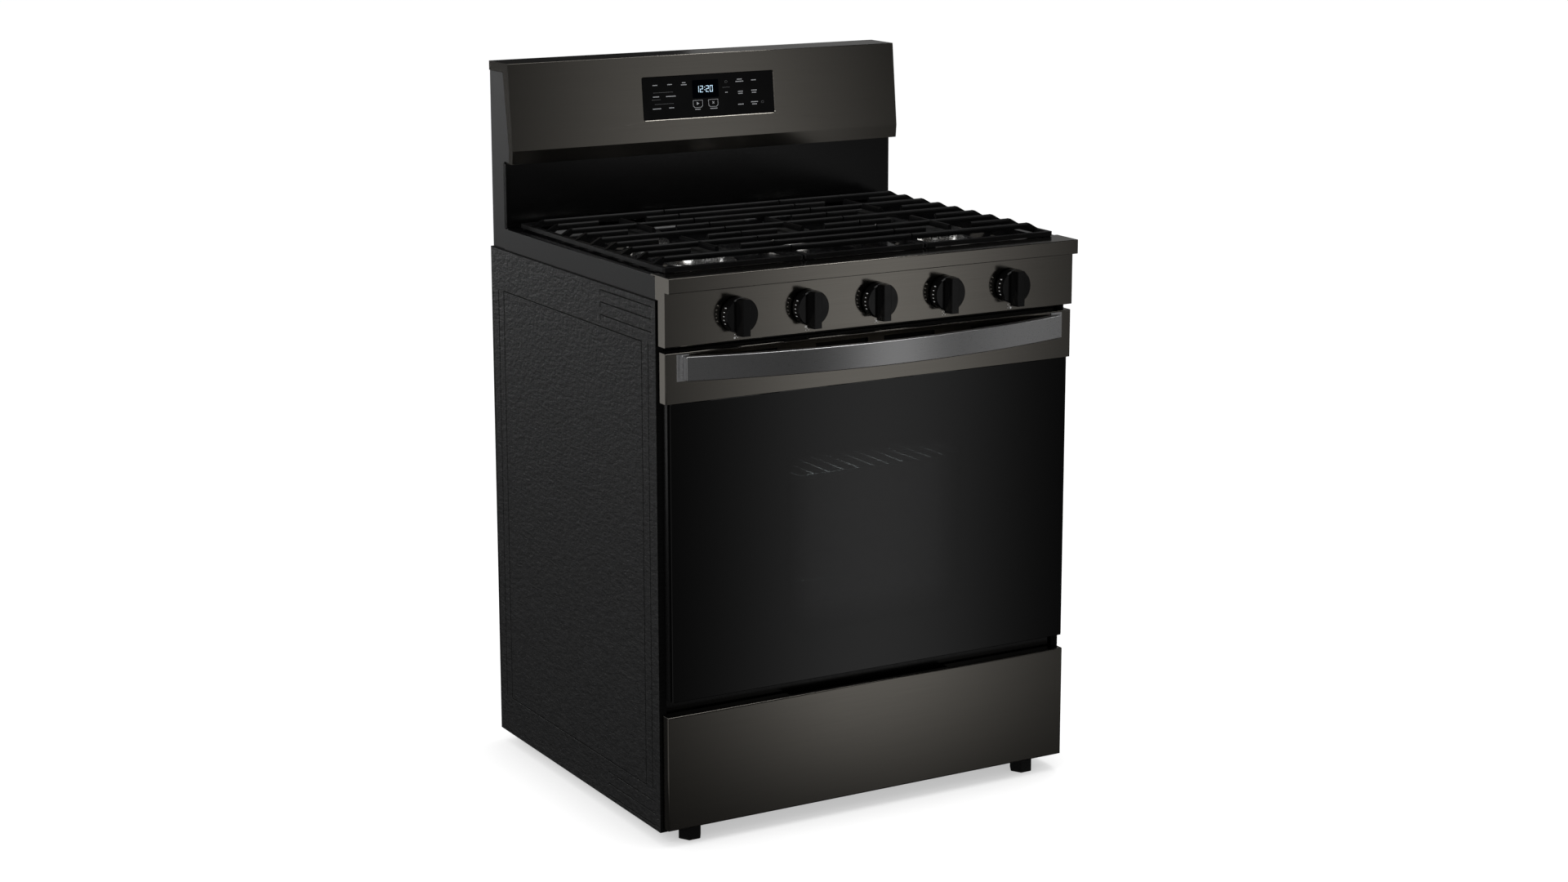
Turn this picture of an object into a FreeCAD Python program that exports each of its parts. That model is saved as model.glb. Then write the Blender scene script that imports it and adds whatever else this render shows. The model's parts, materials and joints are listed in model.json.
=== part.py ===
import FreeCAD, Part
import math
import os

# Freestanding gas range, 30 inch class.
# Frame: +X to the right of a person facing the range, -Y towards that person, +Z up.
# Origin: on the floor, at the centre of the footprint. Units: millimetres.

V = FreeCAD.Vector
X, Y, Z = V(1, 0, 0), V(0, 1, 0), V(0, 0, 1)

# ---------------------------------------------------------------- driving dimensions
HALF_WIDTH = 379.4          # over the side panels
REAR = 346.0                # back of the side panels and of the backguard
BODY_FRONT = -258.3         # front edge of the side panels
FRAME_FRONT = -252.5        # face of the oven's front frame
BODY_BOTTOM = 21.6          # underside of the body, above the feet
SIDE_TOP = 877.1            # top of the side panels
COOK_TOP = 914.0            # rim of the cooktop
GUARD_TOP = 1190.4          # top of the backguard
SHEET = 1.5                 # sheet metal

# control panel and lip
PANEL_HALF = 376.7
PANEL_FRONT = -284.8
PANEL_BOTTOM = 806.9
PANEL_BACK = -254.0
LIP_FRONT = -299.4
LIP_BOTTOM = 892.3
LIP_TOP = 915.7
LIP_BACK = -240.0

# cooktop well
WELL_X = 352.0
WELL_FRONT, WELL_REAR = -228.0, 270.0
WELL_FLOOR = 899.0
WELL_SLOPE = 11.0
COOK_REAR = 284.0

# burners: name, x, y, base plate radius, head radius, cap height
BURNERS = [("left_front", -218.0, -99.6, 60.0, 45.0, 5.5),
           ("left_rear", -218.0, 116.0, 54.0, 39.0, 5.0),
           ("centre", 0.0, 8.2, 57.0, 42.0, 5.0),
           ("right_front", 218.0, -99.6, 60.0, 49.0, 6.0),
           ("right_rear", 218.0, 116.0, 50.0, 33.0, 4.5)]
BOSS_HEIGHT = 3.0
BASE_THICK = 3.0
HEAD_TOP = 914.0
THROAT_R = 21.0             # hole in the cooktop under each burner

# grates
BAR_TOP = 934.3
BAR_DEPTH = 9.0
BAR_WIDTH = 7.6
BAR_PITCH = 53.9
BAR_MIDDLE_Y = 8.2
BARS_EACH_WAY = 4
RAIL_TOP = 924.0
RAIL_BOTTOM = 917.0
RAIL_WIDTH = 9.0
GRATE_HALF = 360.0
GRATE_FRONT, GRATE_REAR = -252.0, 268.0
BEND_X = 338.0              # where the bars turn down to the outer rail
SEAM_X = 112.5              # joint between two grate sections
SEAM_GAP = 1.2
FINGER_GAP = 45.0           # clear radius left over a burner
CROSS_HALF = 60.0           # half length of the cross bar over a burner

# knobs and valves
KNOB_X = [-253.0, -126.5, 0.0, 126.5, 253.0]
KNOB_Z = 848.8
KNOB_R = 28.3
KNOB_BACK = -288.4
DISC_FACE = -305.0
GRIP_FRONT = -319.0
GRIP_TAIL = 29.8
STEM_R = 4.0
STEM_CLEAR = 0.06
STEM_TIP = -312.0
STEM_REAR = -252.0
PUSH_TRAVEL = 3.0

# oven door
DOOR_FRONT = -283.9
DOOR_BACK = -258.6
DOOR_TOP = 797.5
DOOR_BOTTOM = 241.7
BAND_HALF = 375.9
BAND_BOTTOM = 718.7
GLASS_HALF = 368.6
GLASS_THICK = 4.0
FRAME_HALF = 371.5
PIVOT_Y, PIVOT_Z = -268.0, 250.0
HINGE_X = 350.0
HINGE_PIN_R = 3.0

# handle
HANDLE_HALF = 346.5
HANDLE_BOTTOM, HANDLE_TOP = 754.7, 793.0
HANDLE_END_FRONT = -297.9
HANDLE_MID_FRONT = -346.0
HANDLE_THICK = 12.5

# drawer
DRAWER_HALF = 375.2
DRAWER_FRONT = -279.6
DRAWER_BACK = -258.6
DRAWER_BOTTOM, DRAWER_TOP = 29.3, 216.6
BOX_HALF = 318.0
BOX_REAR = 205.0
BOX_FLOOR, BOX_TOP = 48.0, 165.0
RAIL_X = 330.0

# oven
OVEN_HALF = 305.0
OVEN_FLOOR, OVEN_CEILING = 262.5, 737.0
OVEN_REAR = 245.0
OVEN_CORNER = 15.0
RACK_LEVELS = 8
RACK_PITCH = 43.75
LOWEST_RACK = 337.6
RACKS_FITTED = (381.35, 556.35)
RACK_WIRE_R = 3.2
RACK_HALF = 296.0
RACK_FRONT, RACK_BACK = -210.0, 205.0
FAN_Z = 505.0
FAN_SHAFT_R = 4.0
LAMP_X, LAMP_Z = -225.0, 672.0
SENSOR_X, SENSOR_Z = 225.0, 690.0
BAKE_Z, BROIL_Z = 276.0, 712.0
BURNER_TUBE_R = 10.0

# backguard
GUARD_HALF = 375.3
GUARD_SHEET = 1.2
GUARD_BEND = (258.3, 1046.3)
GUARD_TOP_FRONT = (273.2, 1190.4)
GUARD_LOWER = (260.7, 1024.1)
SPLASH_FRONT = 285.6
SPLASH_HALF = 376.0
SPLASH_SIDE_REAR = 296.0
COVER_HALF = 374.0
DISPLAY_HALF = 127.5
DISPLAY_BOTTOM, DISPLAY_TOP = 1082.7, 1154.5
DISPLAY_CORNER = 2.5

# feet
FOOT_X = 319.0
FOOT_FRONT_Y, FOOT_REAR_Y = -243.0, 300.0
FOOT_R = 20.0
STUD_R = 5.0


# ---------------------------------------------------------------- helpers
def box(x0, x1, y0, y1, z0, z1):
    return Part.makeBox(x1 - x0, y1 - y0, z1 - z0, V(x0, y0, z0))


def rod(radius, start, end):
    """Cylinder between two points."""
    a, b = V(*start), V(*end)
    return Part.makeCylinder(radius, (b - a).Length, a, b - a)


def cone(r0, r1, start, end):
    a, b = V(*start), V(*end)
    return Part.makeCone(r0, r1, (b - a).Length, a, b - a)


def union(shapes):
    shapes = list(shapes)
    return shapes[0].fuse(shapes[1:]).removeSplitter() if len(shapes) > 1 else shapes[0]


def minus(shape, tools):
    tools = list(tools)
    return shape.cut(tools) if tools else shape


def mirrored(shape):
    return shape.mirror(V(0, 0, 0), X)


def prism_x(outline, x0, x1):
    """Outline of (y, z) points, extruded along X."""
    points = [V(x0, y, z) for y, z in outline]
    return Part.Face(Part.makePolygon(points + points[:1])).extrude(V(x1 - x0, 0, 0))


def prism_y(outline, y0, y1):
    """Outline of (x, z) points, extruded along Y."""
    points = [V(x, y0, z) for x, z in outline]
    return Part.Face(Part.makePolygon(points + points[:1])).extrude(V(0, y1 - y0, 0))


def prism_z(outline, z0, z1):
    """Outline of (x, y) points, extruded along Z."""
    points = [V(x, y, z0) for x, y in outline]
    return Part.Face(Part.makePolygon(points + points[:1])).extrude(V(0, 0, z1 - z0))


def folded(path, thick):
    """Closed outline of a sheet whose outer side follows path; metal lies on its right-hand side."""
    inner = []
    for i, (a, b) in enumerate(path):
        normals = []
        for j in (i - 1, i):
            if 0 <= j < len(path) - 1:
                da, db = path[j + 1][0] - path[j][0], path[j + 1][1] - path[j][1]
                size = math.hypot(da, db)
                normals.append((db / size, -da / size))
        na = sum(n[0] for n in normals) / len(normals)
        nb = sum(n[1] for n in normals) / len(normals)
        scale = thick / (na * na + nb * nb)
        inner.append((a + na * scale, b + nb * scale))
    return path + inner[::-1]


def rounded_plan(half_x, y0, y1, corner, z):
    """Wire of a rectangle with round corners, in a level plane."""
    plate = Part.makeBox(2 * half_x, y1 - y0, 1.0, V(-half_x, y0, z))
    upright = [e for e in plate.Edges if abs(e.tangentAt(e.FirstParameter).z) > 0.9]
    bottom = [f for f in plate.makeFillet(corner, upright).Faces
              if abs(f.CenterOfMass.z - z) < 1e-6]
    return bottom[0].OuterWire


def edges_along(shape, axis, test=lambda p: True):
    """Straight edges along an axis whose middle point passes the test."""
    found = []
    for edge in shape.Edges:
        if edge.Curve.TypeId != "Part::GeomLine":
            continue
        middle = edge.valueAt((edge.FirstParameter + edge.LastParameter) / 2)
        if abs(edge.tangentAt(edge.FirstParameter).dot(axis)) > 0.999 and test(middle):
            found.append(edge)
    return found


def pipe(points, radius):
    """Round tube along straight runs with ball corners."""
    runs = [rod(radius, a, b) for a, b in zip(points, points[1:])]
    balls = [Part.makeSphere(radius, V(*p)) for p in points[1:-1]]
    return union(runs + balls)


def slope_y(z):
    """Y of the backguard's slanted face at a height."""
    (y0, z0), (y1, z1) = GUARD_BEND, GUARD_TOP_FRONT
    return y0 + (z - z0) * (y1 - y0) / (z1 - z0)


NODES = {}


def node(name, *shapes):
    NODES[name] = list(shapes)


# ---------------------------------------------------------------- body shell
GROOVE_HALF, GROOVE_DEEP = 1.5, 0.9


def groove_level(y0, y1, z):
    s = HALF_WIDTH
    return prism_y([(s + 0.01, z - GROOVE_HALF), (s + 0.01, z + GROOVE_HALF), (s - GROOVE_DEEP, z)], y0, y1)


def groove_upright(y, z0, z1):
    s = HALF_WIDTH
    return prism_z([(s + 0.01, y - GROOVE_HALF), (s + 0.01, y + GROOVE_HALF), (s - GROOVE_DEEP, y)], z0, z1)


def side_panel():
    """Right-hand side sheet with returned edges and pressed lines."""
    s, t = HALF_WIDTH, 2.0
    skin = box(s - t, s, BODY_FRONT, REAR, BODY_BOTTOM, SIDE_TOP)
    flange = 13.0
    front = box(s - flange, s - t, BODY_FRONT, BODY_FRONT + t, BODY_BOTTOM, PANEL_BOTTOM - 2)
    rear = box(s - flange, s - t, REAR - SHEET, REAR, BODY_BOTTOM, SIDE_TOP)
    bottom = box(s - flange, s - t, BODY_FRONT + t, REAR - SHEET, BODY_BOTTOM, BODY_BOTTOM + t)
    top = box(s - flange, s - t, PANEL_BACK + 1, REAR - SHEET, SIDE_TOP - t, SIDE_TOP)
    panel = union([skin, front, rear, bottom, top])
    low, high = 88.0, 805.8
    lines = [groove_level(-213, 297, low), groove_level(-213, 297, high)]
    lines += [groove_upright(y, low, high) for y in (341, 318, 297, -211, -233)]
    for z in (865, 845.5, 825):
        lines += [groove_level(-245, -70, z), groove_upright(-70, z - 9, z)]
    for z in (68.5, 48.6, 28.6):
        lines.append(groove_level(-240, -77, z))
    return minus(panel, lines)


def back_panel():
    """Rear sheet with cooling slots, the gas pipe's notch and the cord's hole."""
    y0, y1 = REAR - 2 * SHEET, REAR - SHEET
    panel = box(-376.0, 376.0, y0, y1, 60.0, SIDE_TOP - 3)
    cuts = [box(205.0, 315.0, y0 - 1, y1 + 1, 50.0, 175.0),
            rod(9.0, (-255.0, y0 - 1, 120.0), (-255.0, y1 + 1, 120.0))]
    for z in (818.0, 832.0, 846.0):
        cuts += [box(x - 24, x + 24, y0 - 1, y1 + 1, z, z + 5) for x in range(-290, 291, 58)]
    for z in (220.0, 234.0, 248.0):
        cuts += [box(x - 24, x + 24, y0 - 1, y1 + 1, z, z + 5) for x in range(-174, 175, 58)]
    beads = [box(x - 4, x + 4, y1, y1 + 0.9, 300.0, 780.0) for x in (-240, -80, 80, 240)]
    return minus(union([panel] + beads), cuts)


def base_frame():
    """Floor chassis: four channel rails and the nut plates for the feet."""
    z0, z1 = BODY_BOTTOM, BODY_BOTTOM + 18.0
    outer = box(-366.0, 366.0, FRAME_FRONT, REAR - 4, z0, z1)
    inner = box(-296.0, 296.0, FRAME_FRONT + 40, REAR - 60, z0 - 1, z1 + 1)
    hollow = box(-364.0, 364.0, FRAME_FRONT + 2, REAR - 6, z0 + 2, z1 + 1)
    rim = box(-294.0, 294.0, FRAME_FRONT + 42, REAR - 62, z0 - 1, z1 + 2)
    lip = box(-298.0, 298.0, FRAME_FRONT + 38, REAR - 58, z0, z1).cut(rim)
    tray = union([outer.cut(inner).cut(hollow), lip.cut(inner)])
    nuts = [rod(10.0, (x, y, z0 + 2), (x, y, z0 + 10)) for x, y in foot_places()]
    cross = box(-296.0, 296.0, 20.0, 60.0, z0, z0 + 2)
    holes = [rod(STUD_R + STEM_CLEAR, (x, y, z0 - 1), (x, y, z1)) for x, y in foot_places()]
    return minus(union([tray, cross] + nuts), holes)


def foot_places():
    return [(x, y) for y in (FOOT_FRONT_Y, FOOT_REAR_Y) for x in (-FOOT_X, FOOT_X)]


def leveling_leg(x, y):
    """Screw foot: hexagonal block with a chamfered sole, and its stud."""
    top = BODY_BOTTOM - 0.6
    corners = [(x + FOOT_R * math.cos(math.radians(60 * i)), y + FOOT_R * math.sin(math.radians(60 * i)))
               for i in range(6)]
    block = prism_z(corners, 0.0, top)
    sole = [e for e in block.Edges if e.CenterOfMass.z < 0.01]
    block = block.makeChamfer(1.2, sole)
    return union([block, rod(STUD_R, (x, y, top), (x, y, BODY_BOTTOM + 15))])


def front_frame():
    """Black face frame around the oven mouth and the drawer."""
    y0, y1 = FRAME_FRONT, FRAME_FRONT + SHEET
    plate = box(-366.0, 366.0, y0, y1, BODY_BOTTOM + 18.2, PANEL_BOTTOM + 12)
    mouth = box(-OVEN_HALF, OVEN_HALF, y0 - 1, y1 + 1, OVEN_FLOOR, OVEN_CEILING)
    mouth = mouth.makeFillet(OVEN_CORNER, edges_along(mouth, Y))
    drawer = box(-336.0, 336.0, y0 - 1, y1 + 1, 44.0, 200.0)
    slots = [box(s * HINGE_X - 8, s * HINGE_X + 8, y0 - 1, y1 + 1, PIVOT_Z - 9, PIVOT_Z + 9) for s in (-1, 1)]
    return minus(plate, [mouth, drawer] + slots)


def door_gasket():
    """Woven tube seal on the front frame, open along the bottom."""
    x, low, high, r = OVEN_HALF + 10.0, OVEN_FLOOR - 6.0, OVEN_CEILING + 11.0, 2.5
    y = FRAME_FRONT - r
    corner = 18.0
    k = corner * (1 - math.sqrt(0.5))
    edges = [Part.makeLine(V(-x, y, low), V(-x, y, high - corner)),
             Part.Arc(V(-x, y, high - corner), V(-x + k, y, high - k), V(-x + corner, y, high)).toShape(),
             Part.makeLine(V(-x + corner, y, high), V(x - corner, y, high)),
             Part.Arc(V(x - corner, y, high), V(x - k, y, high - k), V(x, y, high - corner)).toShape(),
             Part.makeLine(V(x, y, high - corner), V(x, y, low))]
    section = Part.Wire([Part.makeCircle(r, V(-x, y, low), Z)])
    return Part.Wire(edges).makePipeShell([section], True, False)


# ---------------------------------------------------------------- oven
def rounded_tunnel(half, y0, y1, z0, z1, corner):
    block = box(-half, half, y0, y1, z0, z1)
    return block.makeFillet(corner, edges_along(block, Y))


def oven_liner():
    """Enamelled oven box with pressed rack ledges, open at the front."""
    t, y0 = SHEET, FRAME_FRONT + SHEET
    outer = rounded_tunnel(OVEN_HALF + t, y0, OVEN_REAR + t, OVEN_FLOOR - t, OVEN_CEILING + t,
                           OVEN_CORNER + t)
    inner = rounded_tunnel(OVEN_HALF, y0 - 1, OVEN_REAR, OVEN_FLOOR, OVEN_CEILING, OVEN_CORNER)
    ledges = []
    for level in range(RACK_LEVELS):
        top = LOWEST_RACK + level * RACK_PITCH - RACK_WIRE_R
        outline = [(OVEN_HALF + 0.5, top), (OVEN_HALF - 11, top), (OVEN_HALF - 12, top - 1.5),
                   (OVEN_HALF - 12, top - 3), (OVEN_HALF + 0.5, top - 9)]
        ledges.append(prism_y(outline, RACK_FRONT - 6, RACK_BACK + 4))
    ledges += [mirrored(l) for l in ledges]
    floor_rests = [box(s * 297.5 - 7.5, s * 297.5 + 7.5, -240, 235, 284, 286.4) for s in (-1, 1)]
    holes = [rod(FAN_SHAFT_R + 4, (0, OVEN_REAR - 1, FAN_Z), (0, OVEN_REAR + 3, FAN_Z)),
             rod(19.0, (LAMP_X, OVEN_REAR - 1, LAMP_Z), (LAMP_X, OVEN_REAR + 3, LAMP_Z)),
             rod(3.4, (SENSOR_X, OVEN_REAR - 1, SENSOR_Z), (SENSOR_X, OVEN_REAR + 3, SENSOR_Z))]
    holes += [rod(BURNER_TUBE_R + 0.6, (0, OVEN_REAR - 1, z), (0, OVEN_REAR + 3, z))
              for z in (BAKE_Z, BROIL_Z)]
    return minus(union([outer.cut(inner)] + ledges + floor_rests), holes)


def oven_floor_panel():
    """Lift-out floor over the bake burner, slotted along its edges."""
    z0 = 286.6
    plate = box(-302.0, 302.0, -244.0, 240.0, z0, z0 + SHEET)
    dish = box(-262.0, 262.0, -200.0, 205.0, z0 + 0.6, z0 + 5)
    slots = []
    for y in range(-190, 191, 38):
        slots += [box(s * 284 - 4, s * 284 + 4, y - 13, y + 13, z0 - 1, z0 + 3) for s in (-1, 1)]
    slots += [box(x - 22, x + 22, -228.0, -220.0, z0 - 1, z0 + 3) for x in range(-240, 241, 60)]
    return minus(plate, [dish] + slots)


def insulation():
    """Glass-wool jacket around the liner."""
    t = SHEET
    outer = box(-338.0, 338.0, FRAME_FRONT + SHEET, 286.0, 240.0, 776.0)
    inner = box(-OVEN_HALF - t - 1, OVEN_HALF + t + 1, FRAME_FRONT, OVEN_REAR + t + 0.5,
                OVEN_FLOOR - t - 1, OVEN_CEILING + t + 1)
    holes = [rod(12.0, (0, 240, FAN_Z), (0, 290, FAN_Z)),
             rod(22.0, (LAMP_X, 240, LAMP_Z), (LAMP_X, 290, LAMP_Z)),
             rod(5.0, (SENSOR_X, 240, SENSOR_Z), (SENSOR_X, 290, SENSOR_Z))]
    holes += [rod(BURNER_TUBE_R + 2, (0, 240, z), (0, 290, z)) for z in (BAKE_Z, BROIL_Z)]
    return minus(outer.cut(inner), holes)


def oven_rack(z):
    """Wire rack: heavy outer frame, light rods front to back, two braces underneath."""
    r, thin = RACK_WIRE_R, 1.7
    corners = [(-RACK_HALF, RACK_FRONT, z), (RACK_HALF, RACK_FRONT, z),
               (RACK_HALF, RACK_BACK, z), (-RACK_HALF, RACK_BACK, z)]
    frame = [rod(r, corners[i], corners[(i + 1) % 4]) for i in range(4)]
    frame += [Part.makeSphere(r, V(*c)) for c in corners]
    count = 20
    step = 2 * RACK_HALF / (count + 1)
    places = [-RACK_HALF + step * i for i in range(1, count + 1)]
    wires = [rod(thin, (x, RACK_FRONT, z + 1.2), (x, RACK_BACK, z + 1.2)) for x in places]
    braces = [rod(2.2, (-RACK_HALF, y, z - 0.9), (RACK_HALF, y, z - 0.9)) for y in (-75.0, 70.0)]
    return union(frame + wires + braces)


def oven_burners():
    """Bake burner under the floor, and broil burner with its heat spreader under the ceiling."""
    bake = pipe([(0, -185.0, BAKE_Z - 1), (0, OVEN_REAR + 18, BAKE_Z)], BURNER_TUBE_R - 1)
    broil = rod(BURNER_TUBE_R, (0, -175.0, BROIL_Z), (0, OVEN_REAR + 18, BROIL_Z))
    wings = prism_y([(-118, 716), (-112, 726.5), (0, 724.5), (112, 726.5), (118, 716), (119, 717),
                     (112.8, 728), (0, 726), (-112.8, 728), (-119, 717)], -185.0, 205.0)
    return [bake, broil, wings]


def igniters():
    """Spark electrodes beside the top burners, glow bars beside the oven burners."""
    pieces = []
    for _, x, y, base_r, head_r, _ in BURNERS:
        place = V(x, y + (head_r + base_r) / 2 + 1.5, 0)
        floor = WELL_FLOOR + BOSS_HEIGHT + BASE_THICK + 0.2
        post = rod(3.2, (place.x, place.y, floor), (place.x, place.y, floor + 6.5))
        tip = rod(1.1, (place.x, place.y, floor + 6.5), (place.x, place.y, floor + 10.0))
        pieces.append(union([post, tip]))
    for z in (BAKE_Z - 1, BROIL_Z - 6):
        holder = box(19.0, 33.0, 150.0, 168.0, z - 6, z + 6)
        bar = box(24.0, 28.0, 100.0, 150.0, z - 3, z + 3)
        pieces.append(union([holder, bar]))
    return pieces


def oven_lamp():
    """Lamp socket behind the rear wall and its glass dome in the oven."""
    socket = rod(18.0, (LAMP_X, OVEN_REAR + 0.5, LAMP_Z), (LAMP_X, OVEN_REAR + 44, LAMP_Z))
    neck = rod(24.0, (LAMP_X, OVEN_REAR - 3, LAMP_Z), (LAMP_X, OVEN_REAR - 0.1, LAMP_Z))
    dome = Part.makeSphere(21.0, V(LAMP_X, OVEN_REAR - 3, LAMP_Z))
    front = box(LAMP_X - 30, LAMP_X + 30, OVEN_REAR - 40, OVEN_REAR - 3, LAMP_Z - 30, LAMP_Z + 30)
    return [socket, union([neck, dome.common(front)])]


def temperature_sensor():
    probe = rod(2.4, (SENSOR_X, OVEN_REAR - 95, SENSOR_Z), (SENSOR_X, OVEN_REAR + 12, SENSOR_Z))
    tip = Part.makeSphere(2.4, V(SENSOR_X, OVEN_REAR - 95, SENSOR_Z))
    plate = box(SENSOR_X - 16, SENSOR_X + 16, OVEN_REAR - 1.6, OVEN_REAR - 0.1, SENSOR_Z - 8, SENSOR_Z + 8)
    return union([probe, tip, plate])


def fan_cover():
    """Perforated cover over the convection fan."""
    half, deep, t = 112.0, 26.0, SHEET
    y0 = OVEN_REAR - deep
    z0, z1 = FAN_Z - half, FAN_Z + half
    outer = box(-half, half, y0, OVEN_REAR - 0.1, z0, z1)
    outer = outer.makeFillet(24.0, edges_along(outer, Y))
    inner = box(-half + t, half - t, y0 + t, OVEN_REAR, z0 + t, z1 - t)
    inner = inner.makeFillet(24.0 - t, edges_along(inner, Y))
    holes = []
    for radius, count in ((16, 6), (30, 12), (44, 18), (58, 24)):
        for i in range(count):
            a = 2 * math.pi * i / count
            x, z = radius * math.cos(a), FAN_Z + radius * math.sin(a)
            holes.append(rod(4.2, (x, y0 - 1, z), (x, y0 + t + 1, z)))
    vents = [box(s * (half - 1) - 3, s * (half - 1) + 3, y0 + 9, y0 + 17, z - 9, z + 9)
             for s in (-1, 1) for z in (FAN_Z - 60, FAN_Z - 30, FAN_Z, FAN_Z + 30, FAN_Z + 60)]
    return minus(outer.cut(inner), holes + vents)


def convection_fan():
    """Eight-blade fan wheel on its shaft."""
    y0 = OVEN_REAR - 20.0
    disc = rod(76.0, (0, y0 + 14, FAN_Z), (0, y0 + 15.2, FAN_Z))
    hub = rod(11.0, (0, y0 + 4, FAN_Z), (0, y0 + 15, FAN_Z))
    shaft = rod(FAN_SHAFT_R, (0, y0 + 6, FAN_Z), (0, OVEN_REAR + 60, FAN_Z))
    blades = []
    for i in range(8):
        blade = box(24.0, 74.0, y0 + 2, y0 + 14.5, FAN_Z - 0.7, FAN_Z + 0.7)
        blades.append(blade.rotate(V(0, 0, FAN_Z), Y, 45.0 * i))
    return union([disc, hub, shaft] + blades)


def fan_motor():
    """Motor behind the insulation, with the shaft's bearing bore."""
    y0 = OVEN_REAR + 44.0
    can = rod(33.0, (0, y0 + 4, FAN_Z), (0, y0 + 44, FAN_Z))
    plate = box(-48.0, 48.0, y0, y0 + 4, FAN_Z - 48, FAN_Z + 48)
    bore = rod(FAN_SHAFT_R + STEM_CLEAR, (0, y0 - 1, FAN_Z), (0, y0 + 30, FAN_Z))
    return union([can, plate]).cut(bore)


# ---------------------------------------------------------------- cooktop
def well_block(grow, top, floor):
    """Tapered block with round corners, used for both skins of the cooktop well."""
    upper = rounded_plan(WELL_X + grow, WELL_FRONT - grow, WELL_REAR + grow, 26.0 + grow, top)
    s = WELL_SLOPE
    lower = rounded_plan(WELL_X - s + grow, WELL_FRONT + s - grow, WELL_REAR - s + grow, 18.0 + grow, floor)
    return Part.makeLoft([upper, lower], True, True)


def cooktop():
    """Pressed top: flat rim, sunken well and a raised seat under each burner."""
    t = SHEET
    rim = box(-PANEL_HALF, PANEL_HALF, PANEL_BACK + 1, COOK_REAR, COOK_TOP - t, COOK_TOP)
    rim = rim.makeFillet(4.0, edges_along(rim, Z))
    outer = well_block(t, COOK_TOP - 0.1, WELL_FLOOR - t)
    inner = well_block(0.0, COOK_TOP + 0.5, WELL_FLOOR)
    pan = rim.fuse(outer).cut(inner)
    seats, hollows, holes = [], [], []
    for _, x, y, base_r, _, _ in BURNERS:
        r = base_r + 4
        seats.append(cone(r + 9, r, (x, y, WELL_FLOOR - t), (x, y, WELL_FLOOR + BOSS_HEIGHT)))
        under = WELL_FLOOR - t
        hollows.append(cone(r + 7, r - 2, (x, y, under - 0.01), (x, y, under + BOSS_HEIGHT)))
        holes.append(rod(THROAT_R, (x, y, WELL_FLOOR - 9), (x, y, WELL_FLOOR + 9)))
    return pan.fuse(seats).cut(hollows).cut(holes).removeSplitter()


def cooktop_side_trim():
    """Right-hand painted strip between side panel and cooktop rim."""
    path = [(PANEL_HALF - 12, SIDE_TOP + 0.2), (PANEL_HALF, SIDE_TOP + 0.2), (PANEL_HALF, COOK_TOP - 1.7),
            (PANEL_HALF - 12, COOK_TOP - 1.7)]
    return prism_y(folded(path[::-1], SHEET), PANEL_BACK, SPLASH_SIDE_REAR)


def burner_head(x, y, base_r, head_r):
    """Cast base plate, ported flame ring and mixing tube of one burner."""
    z0 = WELL_FLOOR + BOSS_HEIGHT
    z1 = z0 + BASE_THICK
    base = cone(base_r, base_r - 2.2, (x, y, z0), (x, y, z1))
    ring = cone(head_r - 3, head_r, (x, y, z1), (x, y, HEAD_TOP))
    throat = rod(THROAT_R - 1.5, (x, y, WELL_FLOOR - 14), (x, y, z0))
    body = union([base, ring, throat])
    hollow = rod(head_r - 8, (x, y, z1 + 3), (x, y, HEAD_TOP + 1))
    bore = rod(THROAT_R - 6, (x, y, WELL_FLOOR - 15), (x, y, z1 + 4))
    count = 24
    ports = []
    for i in range(count):
        port = box(head_r - 10, head_r + 1, -1.1, 1.1, HEAD_TOP - 4.0, HEAD_TOP - 0.9)
        ports.append(port.translate(V(x, y, 0)).rotate(V(x, y, 0), Z, 360.0 * i / count))
    return minus(body, [hollow, bore] + ports)


def burner_cap(x, y, head_r, height):
    """Enamelled cap with a rounded rim and a locating skirt."""
    z0 = HEAD_TOP + 0.1
    cap = rod(head_r + 1.5, (x, y, z0), (x, y, z0 + height))
    rims = [e for e in cap.Edges if e.Curve.TypeId == "Part::GeomCircle"]
    top = [e for e in rims if e.CenterOfMass.z > z0 + 1]
    bottom = [e for e in rims if e.CenterOfMass.z < z0 + 1]
    cap = cap.makeFillet(min(2.6, height * 0.55), top).makeFillet(0.8, bottom)
    dish = rod(head_r - 9, (x, y, z0 + height - 0.7), (x, y, z0 + height + 1))
    skirt = rod(head_r - 8.4, (x, y, z0 - 3), (x, y, z0 + 1))
    return union([cap.cut(dish), skirt])


def bar_profile(width, depth):
    """Half of a cast bar's section as (across, down) points, top first."""
    w = width / 2
    return [(-w + 2.2, 0), (w - 2.2, 0), (w - 0.6, -1.8), (w, -4.0), (w - 0.5, -depth), (-w + 0.5, -depth),
            (-w, -4.0), (-w + 0.6, -1.8)]


def bar_x(x0, x1, y):
    outline = [(y + a, BAR_TOP + d) for a, d in bar_profile(BAR_WIDTH, BAR_DEPTH)]
    return prism_x(outline, x0, x1)


def bar_y(x, y0, y1):
    outline = [(x + a, BAR_TOP - 0.3 + d) for a, d in bar_profile(BAR_WIDTH, BAR_DEPTH)]
    return prism_y(outline, y0, y1)


def bent_end(x, y, side):
    """Outer end of a bar, turning down to the side rail."""
    foot = GRATE_HALF - RAIL_WIDTH / 2
    right = [(x - 0.5, BAR_TOP - BAR_DEPTH), (x - 0.5, BAR_TOP), (x + 2, BAR_TOP - 0.2), (x + 5, BAR_TOP - 1.6),
             (foot + 3, RAIL_TOP), (foot + 3, RAIL_BOTTOM), (foot - 4, RAIL_BOTTOM)]
    outline = [(side * px, pz) for px, pz in right]
    w = BAR_WIDTH / 2 - 0.4
    return prism_y(outline, y - w, y + w)


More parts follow.
